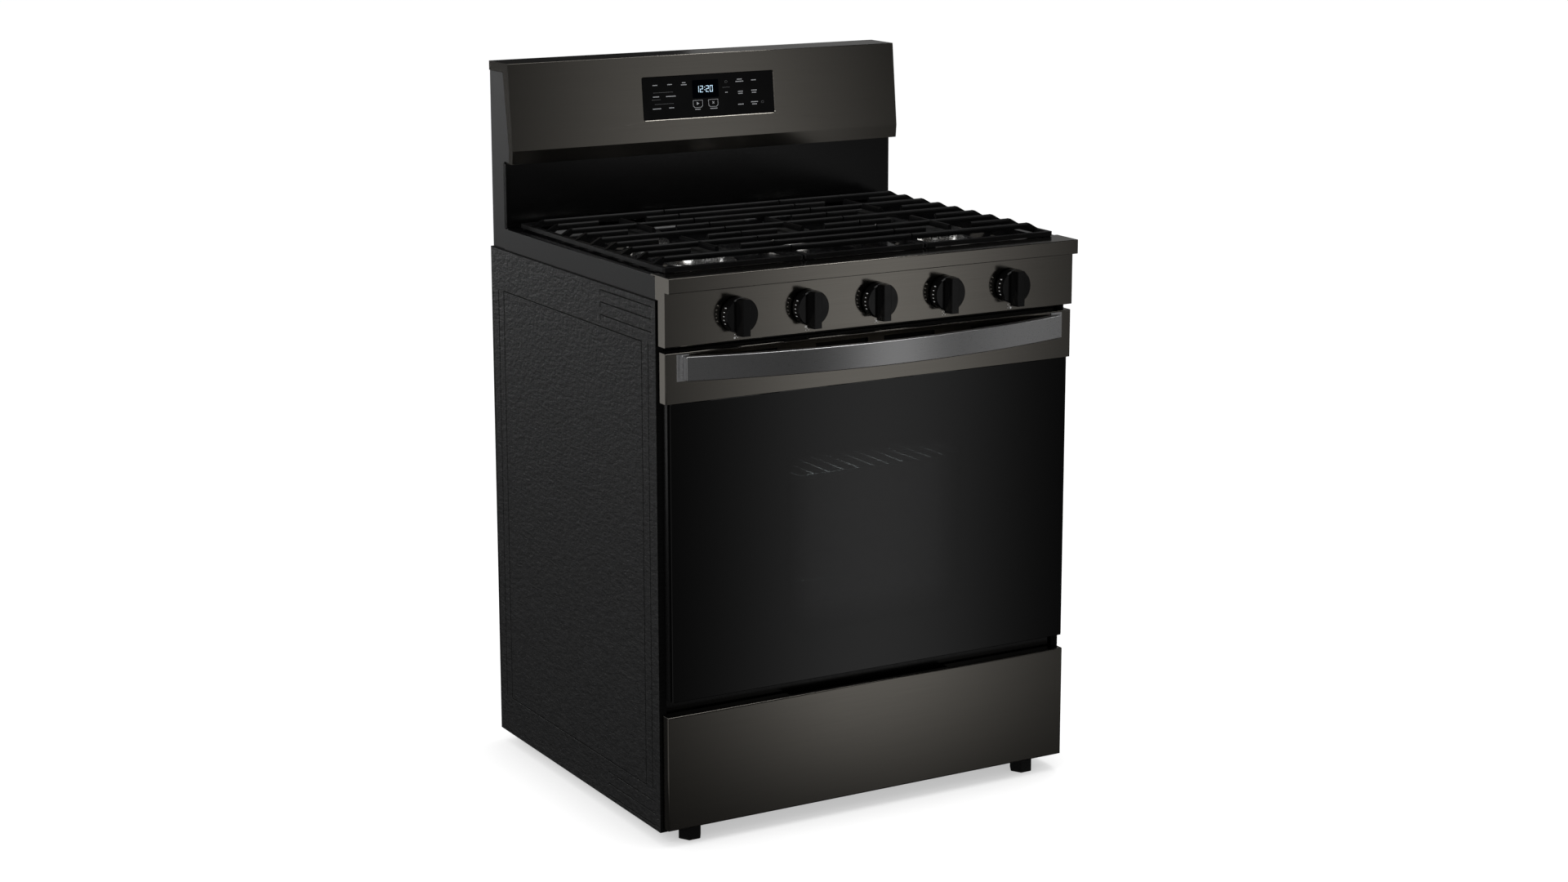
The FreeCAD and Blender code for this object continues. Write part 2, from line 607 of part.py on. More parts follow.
def grate(low, high, burners, turned_down):
    """One cast section between two x limits; its bars leave a gap over each burner."""
    w = RAIL_WIDTH
    outer = box(low, high, GRATE_FRONT, GRATE_REAR, RAIL_BOTTOM, RAIL_TOP)
    outer = outer.makeFillet(5.0, edges_along(outer, Z))
    ring = outer.cut(box(low + w, high - w, GRATE_FRONT + w, GRATE_REAR - w, RAIL_BOTTOM - 1, RAIL_TOP + 1))
    pieces = [ring]
    for k in range(-BARS_EACH_WAY, BARS_EACH_WAY + 1):
        y = BAR_MIDDLE_Y + BAR_PITCH * k
        ends = [low, high]
        if turned_down:
            bend = turned_down * BEND_X
            ends = sorted([bend, low if turned_down > 0 else high])
            pieces.append(bent_end(BEND_X, y, turned_down))
        gaps = [bx for bx, by in burners if abs(abs(y - by) - BAR_PITCH) < 10]
        for bx in gaps:
            pieces.append(bar_x(ends[0], bx - FINGER_GAP, y))
            ends[0] = bx + FINGER_GAP
        pieces.append(bar_x(ends[0], ends[1], y))
        for x, inner in ((low, turned_down != -1), (high, turned_down != 1)):
            if inner:
                middle = x + (w / 2 if x == low else -w / 2)
                pieces.append(box(middle - w / 2, middle + w / 2, y - 3.4, y + 3.4,
                                  RAIL_TOP - 1, BAR_TOP - 1.5))
    pieces += [bar_y(bx, by - CROSS_HALF, by + CROSS_HALF) for bx, by in burners]
    for y0, y1 in ((GRATE_FRONT + 1, LIP_BACK - 3), (GRATE_REAR - 8, GRATE_REAR - 1)):
        for x0, x1 in ((low + 4, low + 18), (high - 18, high - 4)):
            seat = LIP_TOP if y0 < 0 else COOK_TOP
            pieces.append(box(x0, x1, y0, y1, seat + 0.1, RAIL_BOTTOM + 1))
    return union(pieces)


# ---------------------------------------------------------------- control panel, knobs and gas
def control_panel():
    """Formed front sheet: lip over the front edge, panel below it, closed ends."""
    path = [(PANEL_BACK, PANEL_BOTTOM), (PANEL_FRONT, PANEL_BOTTOM), (PANEL_FRONT, LIP_BOTTOM),
            (LIP_FRONT, LIP_BOTTOM), (LIP_FRONT, LIP_TOP), (LIP_BACK, LIP_TOP)]
    sheet = prism_x(folded(path, SHEET), -PANEL_HALF, PANEL_HALF)
    end_plan = path[:-1] + [(PANEL_BACK, LIP_TOP)]
    ends = [prism_x(end_plan, PANEL_HALF - SHEET, PANEL_HALF),
            prism_x(end_plan, -PANEL_HALF, -PANEL_HALF + SHEET)]
    shell = union([sheet] + ends)
    folds = edges_along(shell, X, lambda p: p.y < PANEL_FRONT + 0.2 and p.z < PANEL_BOTTOM + 0.1)
    folds += edges_along(shell, X, lambda p: p.y < LIP_FRONT + 0.1)
    front = shell.makeFillet(1.3, folds)
    holes = [rod(STEM_R + 3, (x, LIP_FRONT, KNOB_Z), (x, PANEL_FRONT + 5, KNOB_Z)) for x in KNOB_X]
    return minus(front, holes)


def gas_valve(x):
    """Brass valve body with the stem's bore and an outlet."""
    front, rear = -272.0, -240.0
    barrel = rod(11.0, (x, front, KNOB_Z), (x, rear, KNOB_Z))
    block = box(x - 12, x + 12, -262.0, rear, KNOB_Z - 13, KNOB_Z + 13)
    outlet = rod(5.0, (x, -250.0, KNOB_Z + 12), (x, -250.0, KNOB_Z + 20))
    bore = rod(STEM_R + STEM_CLEAR, (x, front - 1, KNOB_Z), (x, STEM_REAR + PUSH_TRAVEL + 2, KNOB_Z))
    return union([barrel, block, outlet]).cut(bore)


def valve_stem(x):
    """Stem that goes in when the knob is pressed."""
    stem = rod(STEM_R, (x, STEM_TIP, KNOB_Z), (x, STEM_REAR, KNOB_Z))
    return stem.makeChamfer(0.8, [e for e in stem.Edges if e.Curve.TypeId == "Part::GeomCircle"])


def knob(x):
    """Disc knob with a tapered grip bar whose tail passes the disc's lower edge."""
    z = KNOB_Z
    disc = rod(KNOB_R, (x, KNOB_BACK, z), (x, DISC_FACE, z))
    front = [e for e in disc.Edges
             if e.Curve.TypeId == "Part::GeomCircle" and e.CenterOfMass.y < DISC_FACE + 1]
    disc = disc.makeChamfer(1.6, front)
    foot, tip = 10.5, 6.6
    outline = [(x - foot, DISC_FACE + 2), (x + foot, DISC_FACE + 2), (x + foot, DISC_FACE),
               (x + tip, GRIP_FRONT), (x - tip, GRIP_FRONT), (x - foot, DISC_FACE)]
    grip = prism_z(outline, z - GRIP_TAIL, z + KNOB_R)
    grip = grip.common(rod(KNOB_R - 0.4, (x, DISC_FACE + 3, z), (x, GRIP_FRONT - 1, z)).fuse(
        box(x - 20, x + 20, GRIP_FRONT - 1, DISC_FACE + 3, z - GRIP_TAIL, z)))
    grip = grip.makeFillet(1.0, edges_along(grip, Z, lambda p: p.y < GRIP_FRONT + 0.5))
    body = union([disc, grip])
    hollow = rod(KNOB_R - 2.4, (x, KNOB_BACK + 1, z), (x, KNOB_BACK - 9, z))
    boss = rod(7.5, (x, KNOB_BACK, z), (x, KNOB_BACK - 10, z))
    bore = rod(STEM_R + STEM_CLEAR, (x, KNOB_BACK + 1, z), (x, STEM_TIP - 0.5, z))
    return union([body.cut(hollow), boss]).cut(bore)


MANIFOLD_Y = -230.5
MANIFOLD_R = 9.0
FEED_X = 358.0


def gas_tubes():
    """Manifold with its feed from the regulator, and one tube to each top burner."""
    z = KNOB_Z
    feed = pipe([(-285, MANIFOLD_Y, z), (FEED_X - 6, MANIFOLD_Y, z), (FEED_X - 6, 318, z),
                 (FEED_X - 6, 318, 200), (300, 318, 130), (285, 318, 130)], 6.0)
    manifold = union([feed, rod(MANIFOLD_R, (-300, MANIFOLD_Y, z), (300, MANIFOLD_Y, z))])
    pieces = [manifold]
    order = ["left_front", "left_rear", "centre", "right_rear", "right_front"]
    place = {name: (x, y) for name, x, y, _, _, _ in BURNERS}
    for kx, name in zip(KNOB_X, order):
        bx, by = place[name]
        level = z + 23
        pieces.append(pipe([(kx, -250, z + 20.1), (kx, -250, level), (kx, -222, level), (bx, by - 40, level),
                            (bx, by, level), (bx, by, WELL_FLOOR - 15)], 3.0))
    return pieces


def pressure_regulator():
    """Gas pressure regulator with the inlet port facing the rear."""
    x, y, z = 260.0, 318.0, 130.0
    body = rod(26.0, (x, y - 52, z), (x, y - 22, z))
    neck = box(x - 17, x + 17, y - 24, y + 12, z - 17, z + 17)
    outlet = rod(9.0, (x + 16, y, z), (x + 25, y, z))
    port = rod(15.0, (x, y + 10, z), (x, y + 24, z))
    bore = rod(9.5, (x, y + 8, z), (x, y + 25, z))
    return union([body, neck, outlet, port]).cut(bore)


# ---------------------------------------------------------------- backguard
def backguard_front():
    """Bent front sheet of the backguard, with wrapped top and ends and the display's cut-out."""
    path = [(SPLASH_FRONT, GUARD_LOWER[1]), GUARD_LOWER, GUARD_BEND, GUARD_TOP_FRONT, (REAR, GUARD_TOP),
            (REAR, GUARD_TOP - 15.5)]
    sheet = prism_x(folded(path, GUARD_SHEET), -GUARD_HALF, GUARD_HALF)
    strip = [GUARD_LOWER, GUARD_BEND, GUARD_TOP_FRONT, (REAR, GUARD_TOP), (REAR, GUARD_TOP - 15.5),
             (GUARD_TOP_FRONT[0] + 18.7, GUARD_TOP - 15.5), (GUARD_BEND[0] + 14.5, GUARD_BEND[1]),
             (GUARD_LOWER[0] + 13.5, GUARD_LOWER[1])]
    ends = [prism_x(strip, GUARD_HALF - GUARD_SHEET, GUARD_HALF),
            prism_x(strip, -GUARD_HALF, -GUARD_HALF + GUARD_SHEET)]
    shell = union([sheet] + ends)
    edge = edges_along(shell, X, lambda p: abs(p.y - GUARD_TOP_FRONT[0]) < 0.1 and abs(p.z - GUARD_TOP) < 0.1)
    shell = shell.makeFillet(1.0, edge)
    return shell.cut(display_block(-4.0, 3.0, 0.05)).cut(display_block(-1.1, 0.5, 1.1, 1.05))


def display_block(inner, outer, grow, taper=0.0):
    """Round-cornered block on the slanted face, from inner to outer distance in front of that face."""
    (y0, z0), (y1, z1) = GUARD_BEND, GUARD_TOP_FRONT
    tilt = math.degrees(math.atan2(y1 - y0, z1 - z0))
    base = V(0, slope_y(DISPLAY_BOTTOM), DISPLAY_BOTTOM)
    height = (DISPLAY_TOP - DISPLAY_BOTTOM) / math.cos(math.radians(tilt))
    block = box(-DISPLAY_HALF - grow, DISPLAY_HALF + grow, base.y - outer, base.y - inner,
                base.z - grow, base.z + height + grow)
    block = block.makeFillet(DISPLAY_CORNER + grow, edges_along(block, Y))
    if taper:
        deep = [e for e in block.Edges if abs(e.CenterOfMass.y - (base.y - inner)) < 0.01]
        block = block.makeChamfer(taper, deep)
    return block.rotate(base, X, -tilt)


def display_glass():
    """Black touch glass, set slightly into the bevelled cut-out of the backguard."""
    return display_block(-3.2, -0.7, 0.0)


def control_board():
    """Electronic board with its relays and transformer, behind the display."""
    y = 286.0
    board = box(-112.0, 112.0, y, y + 1.6, 1080.0, 1158.0)
    face = y + 1.6
    transformer = box(-104.0, -74.0, face, y + 26, 1086.0, 1118.0)
    relays = [box(60.0, 88.0, face, y + 20, z, z + 18.0) for z in (1086.0, 1112.0)]
    processor = box(-20.0, 14.0, face, y + 6, 1100.0, 1134.0)
    carrier = box(-118.0, 118.0, y - 6, y, 1074.0, 1164.0)
    carrier = carrier.cut(box(-108.0, 108.0, y - 7, y + 1, 1084.0, 1154.0))
    return union([board, carrier, transformer, processor] + relays)


def backguard_rear_cover():
    """Painted box behind the backguard and backsplash: rear wall, end walls and floor."""
    t = GUARD_SHEET
    side = [(REAR - t, SIDE_TOP + 0.2), (REAR - t, GUARD_TOP - 15.9),
            (GUARD_TOP_FRONT[0] + 19.1, GUARD_TOP - 15.9),
            (GUARD_BEND[0] + 14.9, GUARD_BEND[1]), (GUARD_LOWER[0] + 13.9, GUARD_LOWER[1] + t + 0.2),
            (SPLASH_SIDE_REAR + 0.1, GUARD_LOWER[1] + t + 0.2), (SPLASH_SIDE_REAR + 0.1, SIDE_TOP + 0.2)]
    ends = [prism_x(side, COVER_HALF - t, COVER_HALF), prism_x(side, -COVER_HALF, -COVER_HALF + t)]
    wall = box(-COVER_HALF, COVER_HALF, REAR - t, REAR, SIDE_TOP + 0.2, GUARD_TOP - 15.9)
    floor = box(-COVER_HALF, COVER_HALF, SPLASH_SIDE_REAR + 2, REAR, SIDE_TOP + 0.2, SIDE_TOP + 0.2 + t)
    slots = [box(x - 22, x + 22, REAR - 3, REAR + 1, z, z + 5) for z in (905.0, 919.0, 933.0)
             for x in range(-300, 301, 60)]
    slots += [box(x - 22, x + 22, REAR - 3, REAR + 1, 1140.0, 1145.0) for x in range(-180, 181, 60)]
    return minus(union([wall, floor] + ends), slots)


def backsplash_panel():
    """Black panel between cooktop and backguard, wrapped round its ends."""
    t = GUARD_SHEET
    path = [(SPLASH_HALF, SPLASH_SIDE_REAR), (SPLASH_HALF, SPLASH_FRONT), (-SPLASH_HALF, SPLASH_FRONT),
            (-SPLASH_HALF, SPLASH_SIDE_REAR)]
    wrap = prism_z(folded(path, t), COOK_TOP + 0.3, GUARD_LOWER[1] - 1.4)
    foot = box(-SPLASH_HALF + 0.1, SPLASH_HALF - 0.1, SPLASH_FRONT + 0.1, SPLASH_SIDE_REAR,
               COOK_TOP + 0.3, COOK_TOP + 1.5)
    return union([wrap, foot])


# ---------------------------------------------------------------- door
def door_trim_band():
    """Metal band across the top of the door, wrapped over its top and ends, with air slots."""
    t = SHEET
    outer = box(-BAND_HALF, BAND_HALF, DOOR_FRONT, DOOR_BACK, BAND_BOTTOM, DOOR_TOP)
    front_edges = edges_along(outer, Z, lambda p: p.y < DOOR_FRONT + 1)
    front_edges += edges_along(outer, X, lambda p: p.y < DOOR_FRONT + 1 and p.z > DOOR_TOP - 1)
    outer = outer.makeFillet(2.0, front_edges)
    inner = box(-BAND_HALF + t, BAND_HALF - t, DOOR_FRONT + t, DOOR_BACK + 1, BAND_BOTTOM + t, DOOR_TOP - t)
    throat = box(-BAND_HALF + t, BAND_HALF - t, DOOR_FRONT + GLASS_THICK + 0.1, DOOR_BACK + 1,
                 BAND_BOTTOM - 1, BAND_BOTTOM + 5)
    slots = [box(x0, x1, DOOR_FRONT - 1, DOOR_FRONT + 3, 780.0, 789.0)
             for x0, x1 in ((-275, -180), (-110, -15), (15, 110), (180, 275))]
    return minus(outer, [inner, throat] + slots)


def door_glass():
    """Black outer glass."""
    pane = box(-GLASS_HALF, GLASS_HALF, DOOR_FRONT, DOOR_FRONT + GLASS_THICK, DOOR_BOTTOM, BAND_BOTTOM - 0.2)
    return pane.makeChamfer(0.8, [e for e in pane.Edges if e.CenterOfMass.y < DOOR_FRONT + 0.1])


def door_frame():
    """Black steel frame of the door, around the window."""
    y0, y1 = DOOR_FRONT + GLASS_THICK + 0.2, -262.5
    outer = box(-FRAME_HALF, FRAME_HALF, y0, y1, DOOR_BOTTOM + 1.3, DOOR_TOP - 2)
    window = box(-278.0, 278.0, y0 - 1, y1 + 1, 318.0, 682.0)
    pockets = [box(s * HINGE_X - 8, s * HINGE_X + 8, y0 + 2.5, y1 + 1, DOOR_BOTTOM, 420.0) for s in (-1, 1)]
    return minus(outer, [window] + pockets)


def door_inner_panel():
    """Enamelled inner face of the door: flat border and a raised field round the window."""
    y0, y1, y2 = -262.3, -258.4, -247.0
    border = box(-FRAME_HALF + 3, FRAME_HALF - 3, y0, y1, 262.0, DOOR_TOP - 4)
    field = prism_y([(-286, 284), (286, 284), (286, 716), (-286, 716)], y1 - 1, y2)
    field = field.makeFillet(20.0, edges_along(field, Y))
    crown = [e for e in field.Edges if abs(e.CenterOfMass.y - y2) < 0.1]
    field = field.makeChamfer(6.0, crown)
    window = box(-214.0, 214.0, y0 - 1, y2 + 1, 372.0, 628.0)
    window = window.makeFillet(16.0, edges_along(window, Y))
    seat = box(-226.0, 226.0, y0 - 1, y2 - 3.0, 360.0, 640.0)
    return minus(union([border, field]), [window, seat])


def door_windows():
    """Inner and middle panes of the window."""
    inner = box(-225.0, 225.0, -254.0, -250.2, 361.0, 639.0)
    middle = box(-277.0, 277.0, -270.0, -267.0, 319.0, 681.0)
    return [inner, middle]


def door_handle():
    """Bowed flat bar and its two end mounts."""
    h = HANDLE_HALF
    z0, z1 = HANDLE_BOTTOM, HANDLE_TOP
    rear_end, rear_mid = HANDLE_END_FRONT + HANDLE_THICK, HANDLE_MID_FRONT + HANDLE_THICK
    y_end, y_mid = HANDLE_END_FRONT, HANDLE_MID_FRONT
    front = Part.Arc(V(-h, y_end, z0), V(0, y_mid, z0), V(h, y_end, z0)).toShape()
    rear = Part.Arc(V(h, rear_end, z0), V(0, rear_mid, z0), V(-h, rear_end, z0)).toShape()
    right = Part.makeLine(V(h, HANDLE_END_FRONT, z0), V(h, rear_end, z0))
    left = Part.makeLine(V(-h, rear_end, z0), V(-h, HANDLE_END_FRONT, z0))
    bar = Part.Face(Part.Wire([front, right, rear, left])).extrude(V(0, 0, z1 - z0))
    bar = bar.makeFillet(1.6, bar.Edges)
    mounts = []
    for s in (-1, 1):
        xs = sorted([s * 336.0, s * 357.0])
        mounts.append(box(xs[0], xs[1], rear_end + 0.1, DOOR_FRONT - 0.1, z0 - 1.5, z1 + 2.2))
    return [bar] + mounts


def hinge_arm(side):
    """Fixed arm that leaves the front frame and carries the door's hinge pin."""
    x = side * HINGE_X
    arm = box(x - 3, x + 3, PIVOT_Y, -190.0, PIVOT_Z - 6, PIVOT_Z + 6)
    nose = rod(6.0, (x - 3, PIVOT_Y, PIVOT_Z), (x + 3, PIVOT_Y, PIVOT_Z))
    hole = rod(HINGE_PIN_R + STEM_CLEAR, (x - 4, PIVOT_Y, PIVOT_Z), (x + 4, PIVOT_Y, PIVOT_Z))
    pocket = box(x - 6.5, x + 6.5, -246.0, -186.0, PIVOT_Z - 11, PIVOT_Z + 16)
    pocket = pocket.cut(box(x - 5, x + 5, -247.0, -188.0, PIVOT_Z - 8, PIVOT_Z + 14.5))
    hook = box(x - 3, x + 3, -200.0, -188.0, PIVOT_Z - 6, PIVOT_Z + 10)
    return union([arm, nose, hook, pocket]).cut(hole)


def hinge_casing(side):
    """Channel in the door's lower corner with the hinge pin across it."""
    x = side * HINGE_X
    shell = box(x - 7.5, x + 7.5, -276.5, -263.2, 243.6, 415.0)
    hollow = box(x - 4.5, x + 4.5, -275.0, -262.0, 242.0, 413.5)
    pin = rod(HINGE_PIN_R, (x - 7.0, PIVOT_Y, PIVOT_Z), (x + 7.0, PIVOT_Y, PIVOT_Z))
    return union([shell.cut(hollow), pin])


# ---------------------------------------------------------------- drawer
def drawer_front():
    """Metal front panel with returned edges."""
    t = SHEET
    outer = box(-DRAWER_HALF, DRAWER_HALF, DRAWER_FRONT, DRAWER_BACK, DRAWER_BOTTOM, DRAWER_TOP)
    front_edges = edges_along(outer, Z, lambda p: p.y < DRAWER_FRONT + 1)
    front_edges += edges_along(outer, X, lambda p: p.y < DRAWER_FRONT + 1)
    outer = outer.makeFillet(2.4, front_edges)
    inner = box(-DRAWER_HALF + t, DRAWER_HALF - t, DRAWER_FRONT + t, DRAWER_BACK + 1,
                DRAWER_BOTTOM + t, DRAWER_TOP - t)
    grip = box(-150.0, 150.0, DRAWER_FRONT + 8, DRAWER_BACK + 1, DRAWER_TOP - t - 1, DRAWER_TOP + 1)
    return minus(outer, [inner, grip])


def drawer_box():
    """Folded steel tray with slide flanges along its top edges."""
    t = SHEET
    y0 = DRAWER_BACK + 0.1
    outer = box(-BOX_HALF, BOX_HALF, y0, BOX_REAR, BOX_FLOOR, BOX_TOP)
    inner = box(-BOX_HALF + t, BOX_HALF - t, y0 + t, BOX_REAR - t, BOX_FLOOR + t, BOX_TOP + 1)
    flanges = [box(*sorted([s * (BOX_HALF - 1), s * (RAIL_X - 2)]), y0 + 14, BOX_REAR, BOX_TOP - 3, BOX_TOP)
               for s in (-1, 1)]
    brace = box(-RAIL_X - 6, RAIL_X + 6, y0, y0 + t, BOX_FLOOR + 20, BOX_TOP)
    return minus(union([outer, brace]), [inner]).fuse(flanges).removeSplitter()


def drawer_rail(side):
    """Channel that the drawer's flange runs in."""
    x0, x1 = RAIL_X - 6.0, RAIL_X + 2.0
    y0 = FRAME_FRONT + SHEET
    outer = box(x0, x1, y0, 236.0, BOX_TOP - 7, BOX_TOP + 4)
    slot = box(x0 - 1, RAIL_X - 0.5, y0 - 1, 232.0, BOX_TOP - 4, BOX_TOP + 1)
    hanger = box(x1 - 0.1, x1 + 1.4, y0, 236.0, BOX_TOP - 7, 212.0)
    shelf = box(x1 + 1.3, 340.0, y0, 236.0, 210.5, 212.0)
    rail = union([outer.cut(slot), hanger, shelf])
    return rail if side > 0 else mirrored(rail)


# ---------------------------------------------------------------- fasteners and cord gland
def screws():
    """Pan-head screws of the back panel."""
    places = [(s * 358.0, z) for s in (-1, 1) for z in (110.0, 250.0, 400.0, 550.0, 700.0, 840.0)]
    y = REAR - SHEET
    return [cone(4.5, 3.4, (x, y, z), (x, REAR - 0.1, z)) for x, z in places]


def cord_gland():
    """Bushing in the back panel for the supply cord."""
    x, z = -255.0, 120.0
    flange = rod(15.0, (x, REAR - SHEET, z), (x, REAR, z))
    sleeve = rod(8.9, (x, REAR - 8, z), (x, REAR - SHEET, z))
    nut = rod(14.0, (x, REAR - 8, z), (x, REAR - 2 * SHEET, z))
    return union([flange, sleeve, nut]).cut(rod(5.5, (x, REAR - 9, z), (x, REAR + 1, z)))


# ---------------------------------------------------------------- assembly
def build():
    right = side_panel()
    node("side_panel_right", right)
    node("side_panel_left", mirrored(right))
    node("back_panel", back_panel())
    node("base_frame", base_frame())
    node("front_frame", front_frame())
    node("door_gasket", door_gasket())
    node("oven_liner", oven_liner())
    node("oven_floor_panel", oven_floor_panel())
    node("insulation", insulation())
    node("oven_racks", *[oven_rack(z) for z in RACKS_FITTED])
    node("oven_burners", *oven_burners())
    node("igniters", *igniters())
    node("oven_lamp", *oven_lamp())
    node("temperature_sensor", temperature_sensor())
    node("fan_cover", fan_cover())
    node("convection_fan", convection_fan())
    node("fan_motor", fan_motor())
    node("cooktop", cooktop())
    node("cooktop_side_trims", cooktop_side_trim(), mirrored(cooktop_side_trim()))
    node("burner_heads", *[burner_head(x, y, b, h) for _, x, y, b, h, _ in BURNERS])
    node("burner_caps", *[burner_cap(x, y, h, c) for _, x, y, _, h, c in BURNERS])
    seam, gap = SEAM_X, SEAM_GAP
    places = {name: (x, y) for name, x, y, _, _, _ in BURNERS}
    node("grate_left", grate(-GRATE_HALF, -seam - gap, [places["left_front"], places["left_rear"]], -1))
    node("grate_center", grate(-seam + gap, seam - gap, [places["centre"]], 0))
    node("grate_right", grate(seam + gap, GRATE_HALF, [places["right_front"], places["right_rear"]], 1))
    node("control_panel", control_panel())
    node("gas_valves", *[gas_valve(x) for x in KNOB_X])
    for number, x in enumerate(KNOB_X, 1):
        node("knob_%d" % number, knob(x))
        node("valve_stem_%d" % number, valve_stem(x))
    node("gas_tubes", *gas_tubes())
    node("pressure_regulator", pressure_regulator())
    node("backguard_front", backguard_front())
    node("backguard_rear_cover", backguard_rear_cover())
    node("backsplash_panel", backsplash_panel())
    node("display_glass", display_glass())
    node("control_board", control_board())
    node("door_trim_band", door_trim_band())
    node("door_glass", door_glass())
    node("door_frame", door_frame())
    node("door_inner_panel", door_inner_panel())
    node("door_windows", *door_windows())
    node("door_handle", *door_handle())
    node("hinge_arms", hinge_arm(-1), hinge_arm(1))
    node("hinge_casings", hinge_casing(-1), hinge_casing(1))
    node("drawer_front", drawer_front())
    node("drawer_box", drawer_box())
    node("drawer_rails", drawer_rail(-1), drawer_rail(1))
    for name, (x, y) in zip(("front_left", "front_right", "rear_left", "rear_right"), foot_places()):
        node("leg_" + name, leveling_leg(x, y))
    node("screws", *screws())
    node("cord_gland", cord_gland())


def export():
    os.makedirs("parts", exist_ok=True)
    for name, shapes in NODES.items():
        solids = [solid for shape in shapes for solid in shape.Solids]
        Part.makeCompound(solids).exportStep("parts/%s.step" % name)


build()
export()
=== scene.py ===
import json
import math

import bmesh
import bpy
from mathutils import Euler, Matrix, Vector


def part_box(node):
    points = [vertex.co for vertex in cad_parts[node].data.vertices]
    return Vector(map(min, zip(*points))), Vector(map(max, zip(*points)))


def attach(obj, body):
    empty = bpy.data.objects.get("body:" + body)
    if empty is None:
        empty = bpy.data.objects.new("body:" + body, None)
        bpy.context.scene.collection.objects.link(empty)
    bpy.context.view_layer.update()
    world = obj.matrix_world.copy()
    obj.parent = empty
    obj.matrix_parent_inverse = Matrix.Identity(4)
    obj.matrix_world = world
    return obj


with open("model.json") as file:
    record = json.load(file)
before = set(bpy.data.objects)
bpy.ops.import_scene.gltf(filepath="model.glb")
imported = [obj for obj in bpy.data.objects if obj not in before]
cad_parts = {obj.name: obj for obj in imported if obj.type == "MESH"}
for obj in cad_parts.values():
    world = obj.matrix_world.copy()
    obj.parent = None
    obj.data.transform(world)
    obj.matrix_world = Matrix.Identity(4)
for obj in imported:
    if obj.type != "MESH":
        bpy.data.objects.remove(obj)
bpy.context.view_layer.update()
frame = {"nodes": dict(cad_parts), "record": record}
NODES = frame["nodes"]
MM = 0.001


# ---------------------------------------------------------------- places read from the frame
PANEL_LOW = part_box("control_panel")[0]
DISPLAY_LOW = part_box("display_glass")[0]
SIDE_FACE, _, SIDE_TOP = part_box("side_panel_right")[1]
KNOBS = [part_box("knob_%d" % k) for k in range(1, 6)]


# ---------------------------------------------------------------- camera and light
LENS_MM = 66.93
CAMERA_PLACE = (-2.3799, -4.1392, 1.6683)
CAMERA_TURN = (math.radians(90 - 12.08), math.radians(0.07), math.radians(-29.86))
CAMERA_SHIFT_Y = -0.03125


def make_camera():
    data = bpy.data.cameras.new("camera")
    data.lens = LENS_MM
    data.sensor_width = 36.0
    data.shift_y = CAMERA_SHIFT_Y
    camera = bpy.data.objects.new("camera", data)
    camera.location = CAMERA_PLACE
    camera.rotation_euler = Euler(CAMERA_TURN, "XYZ")
    bpy.context.scene.collection.objects.link(camera)
    bpy.context.scene.camera = camera


# name, place, the point it faces, width and height, power in watts
STUDIO_LIGHTS = [
    ("left_side", (-3.1, -0.6, 2.2), (-0.38, 0.0, 0.8), (1.8, 1.4), 38),
    ("overhead", (0.6, -1.2, 3.6), (0.0, -0.1, 0.9), (2.6, 1.6), 19),
    ("right_side", (4.2, -0.4, 1.8), (0.38, 0.0, 0.5), (1.6, 1.6), 26),
    ("behind", (-0.6, 4.6, 1.2), (0.0, 0.3, 0.6), (2.0, 1.6), 26),
    ("left_back", (-2.6, 3.5, 0.5), (-0.38, -0.28, 0.7), (0.9, 2.0), 2.4),
    ("crown", (1.3, 0.42, 3.5), (1.0, 0.3, 1.0), (1.1, 0.7), 15),
    ("oven_glow", (0.0, 0.02, 0.700), (0.0, -0.1, 0.4), (0.30, 0.12), 0.25)]

# large dim cards that the steel mirrors when it is seen from elsewhere
CARD_SIZE = (2.4, 4.8)
REFLECTED_CARDS = [
    ("card_front_left", (-3.0, -4.4, 0.2), 6.5), ("card_front_right", (5.0, -3.2, 0.0), 5.0),
    ("card_back_right", (3.6, 4.6, 0.0), 5.0), ("card_back_left", (-4.9, 4.0, 0.0), 6.5),
    ("card_far_left", (-5.4, -2.2, 0.0), 8.0), ("card_front", (-0.4, -5.4, 0.2), 1.2)]

# tall light in the direction that the front faces mirror; its brightness fades over these heights
SOFTBOX_PLACE = (2.11, -3.7, 0.3)
SOFTBOX_SIZE = (2.0, 4.0)
SOFTBOX_POWER = 12.0
SOFTBOX_SPREAD = 0.45
SOFTBOX_FOOT = (-1.50, -1.0)
SOFTBOX_HEAD = (0.2, 2.2)
SOFTBOX_HEAD_LOSS = 0.5


def area_light(name, place, turn, size, power):
    data = bpy.data.lights.new(name, "AREA")
    data.shape = "RECTANGLE"
    data.size, data.size_y = size
    data.energy = power
    light = bpy.data.objects.new(name, data)
    light.location = place
    light.rotation_euler = turn
    light.visible_camera = False
    bpy.context.scene.collection.objects.link(light)
    return data


def facing(place, target):
    return (Vector(target) - Vector(place)).to_track_quat("-Z", "Y").to_euler()


def make_lights():
    for name, place, target, size, power in STUDIO_LIGHTS:
        area_light(name, place, facing(place, target), size, power)
    for name, place, power in REFLECTED_CARDS:
        area_light(name, place, facing(place, (0.0, 0.0, place[2])), CARD_SIZE, power)


def math_node(tree, kind, first, second=None):
    """A Math node in tree; each operand is a number or a socket."""
    node = tree.nodes.new("ShaderNodeMath")
    node.operation = kind
    for socket, value in zip(node.inputs, (first, second)):
        if isinstance(value, (int, float)):
            socket.default_value = value
        elif value is not None:
            tree.links.new(value, socket)
    return node.outputs[0]


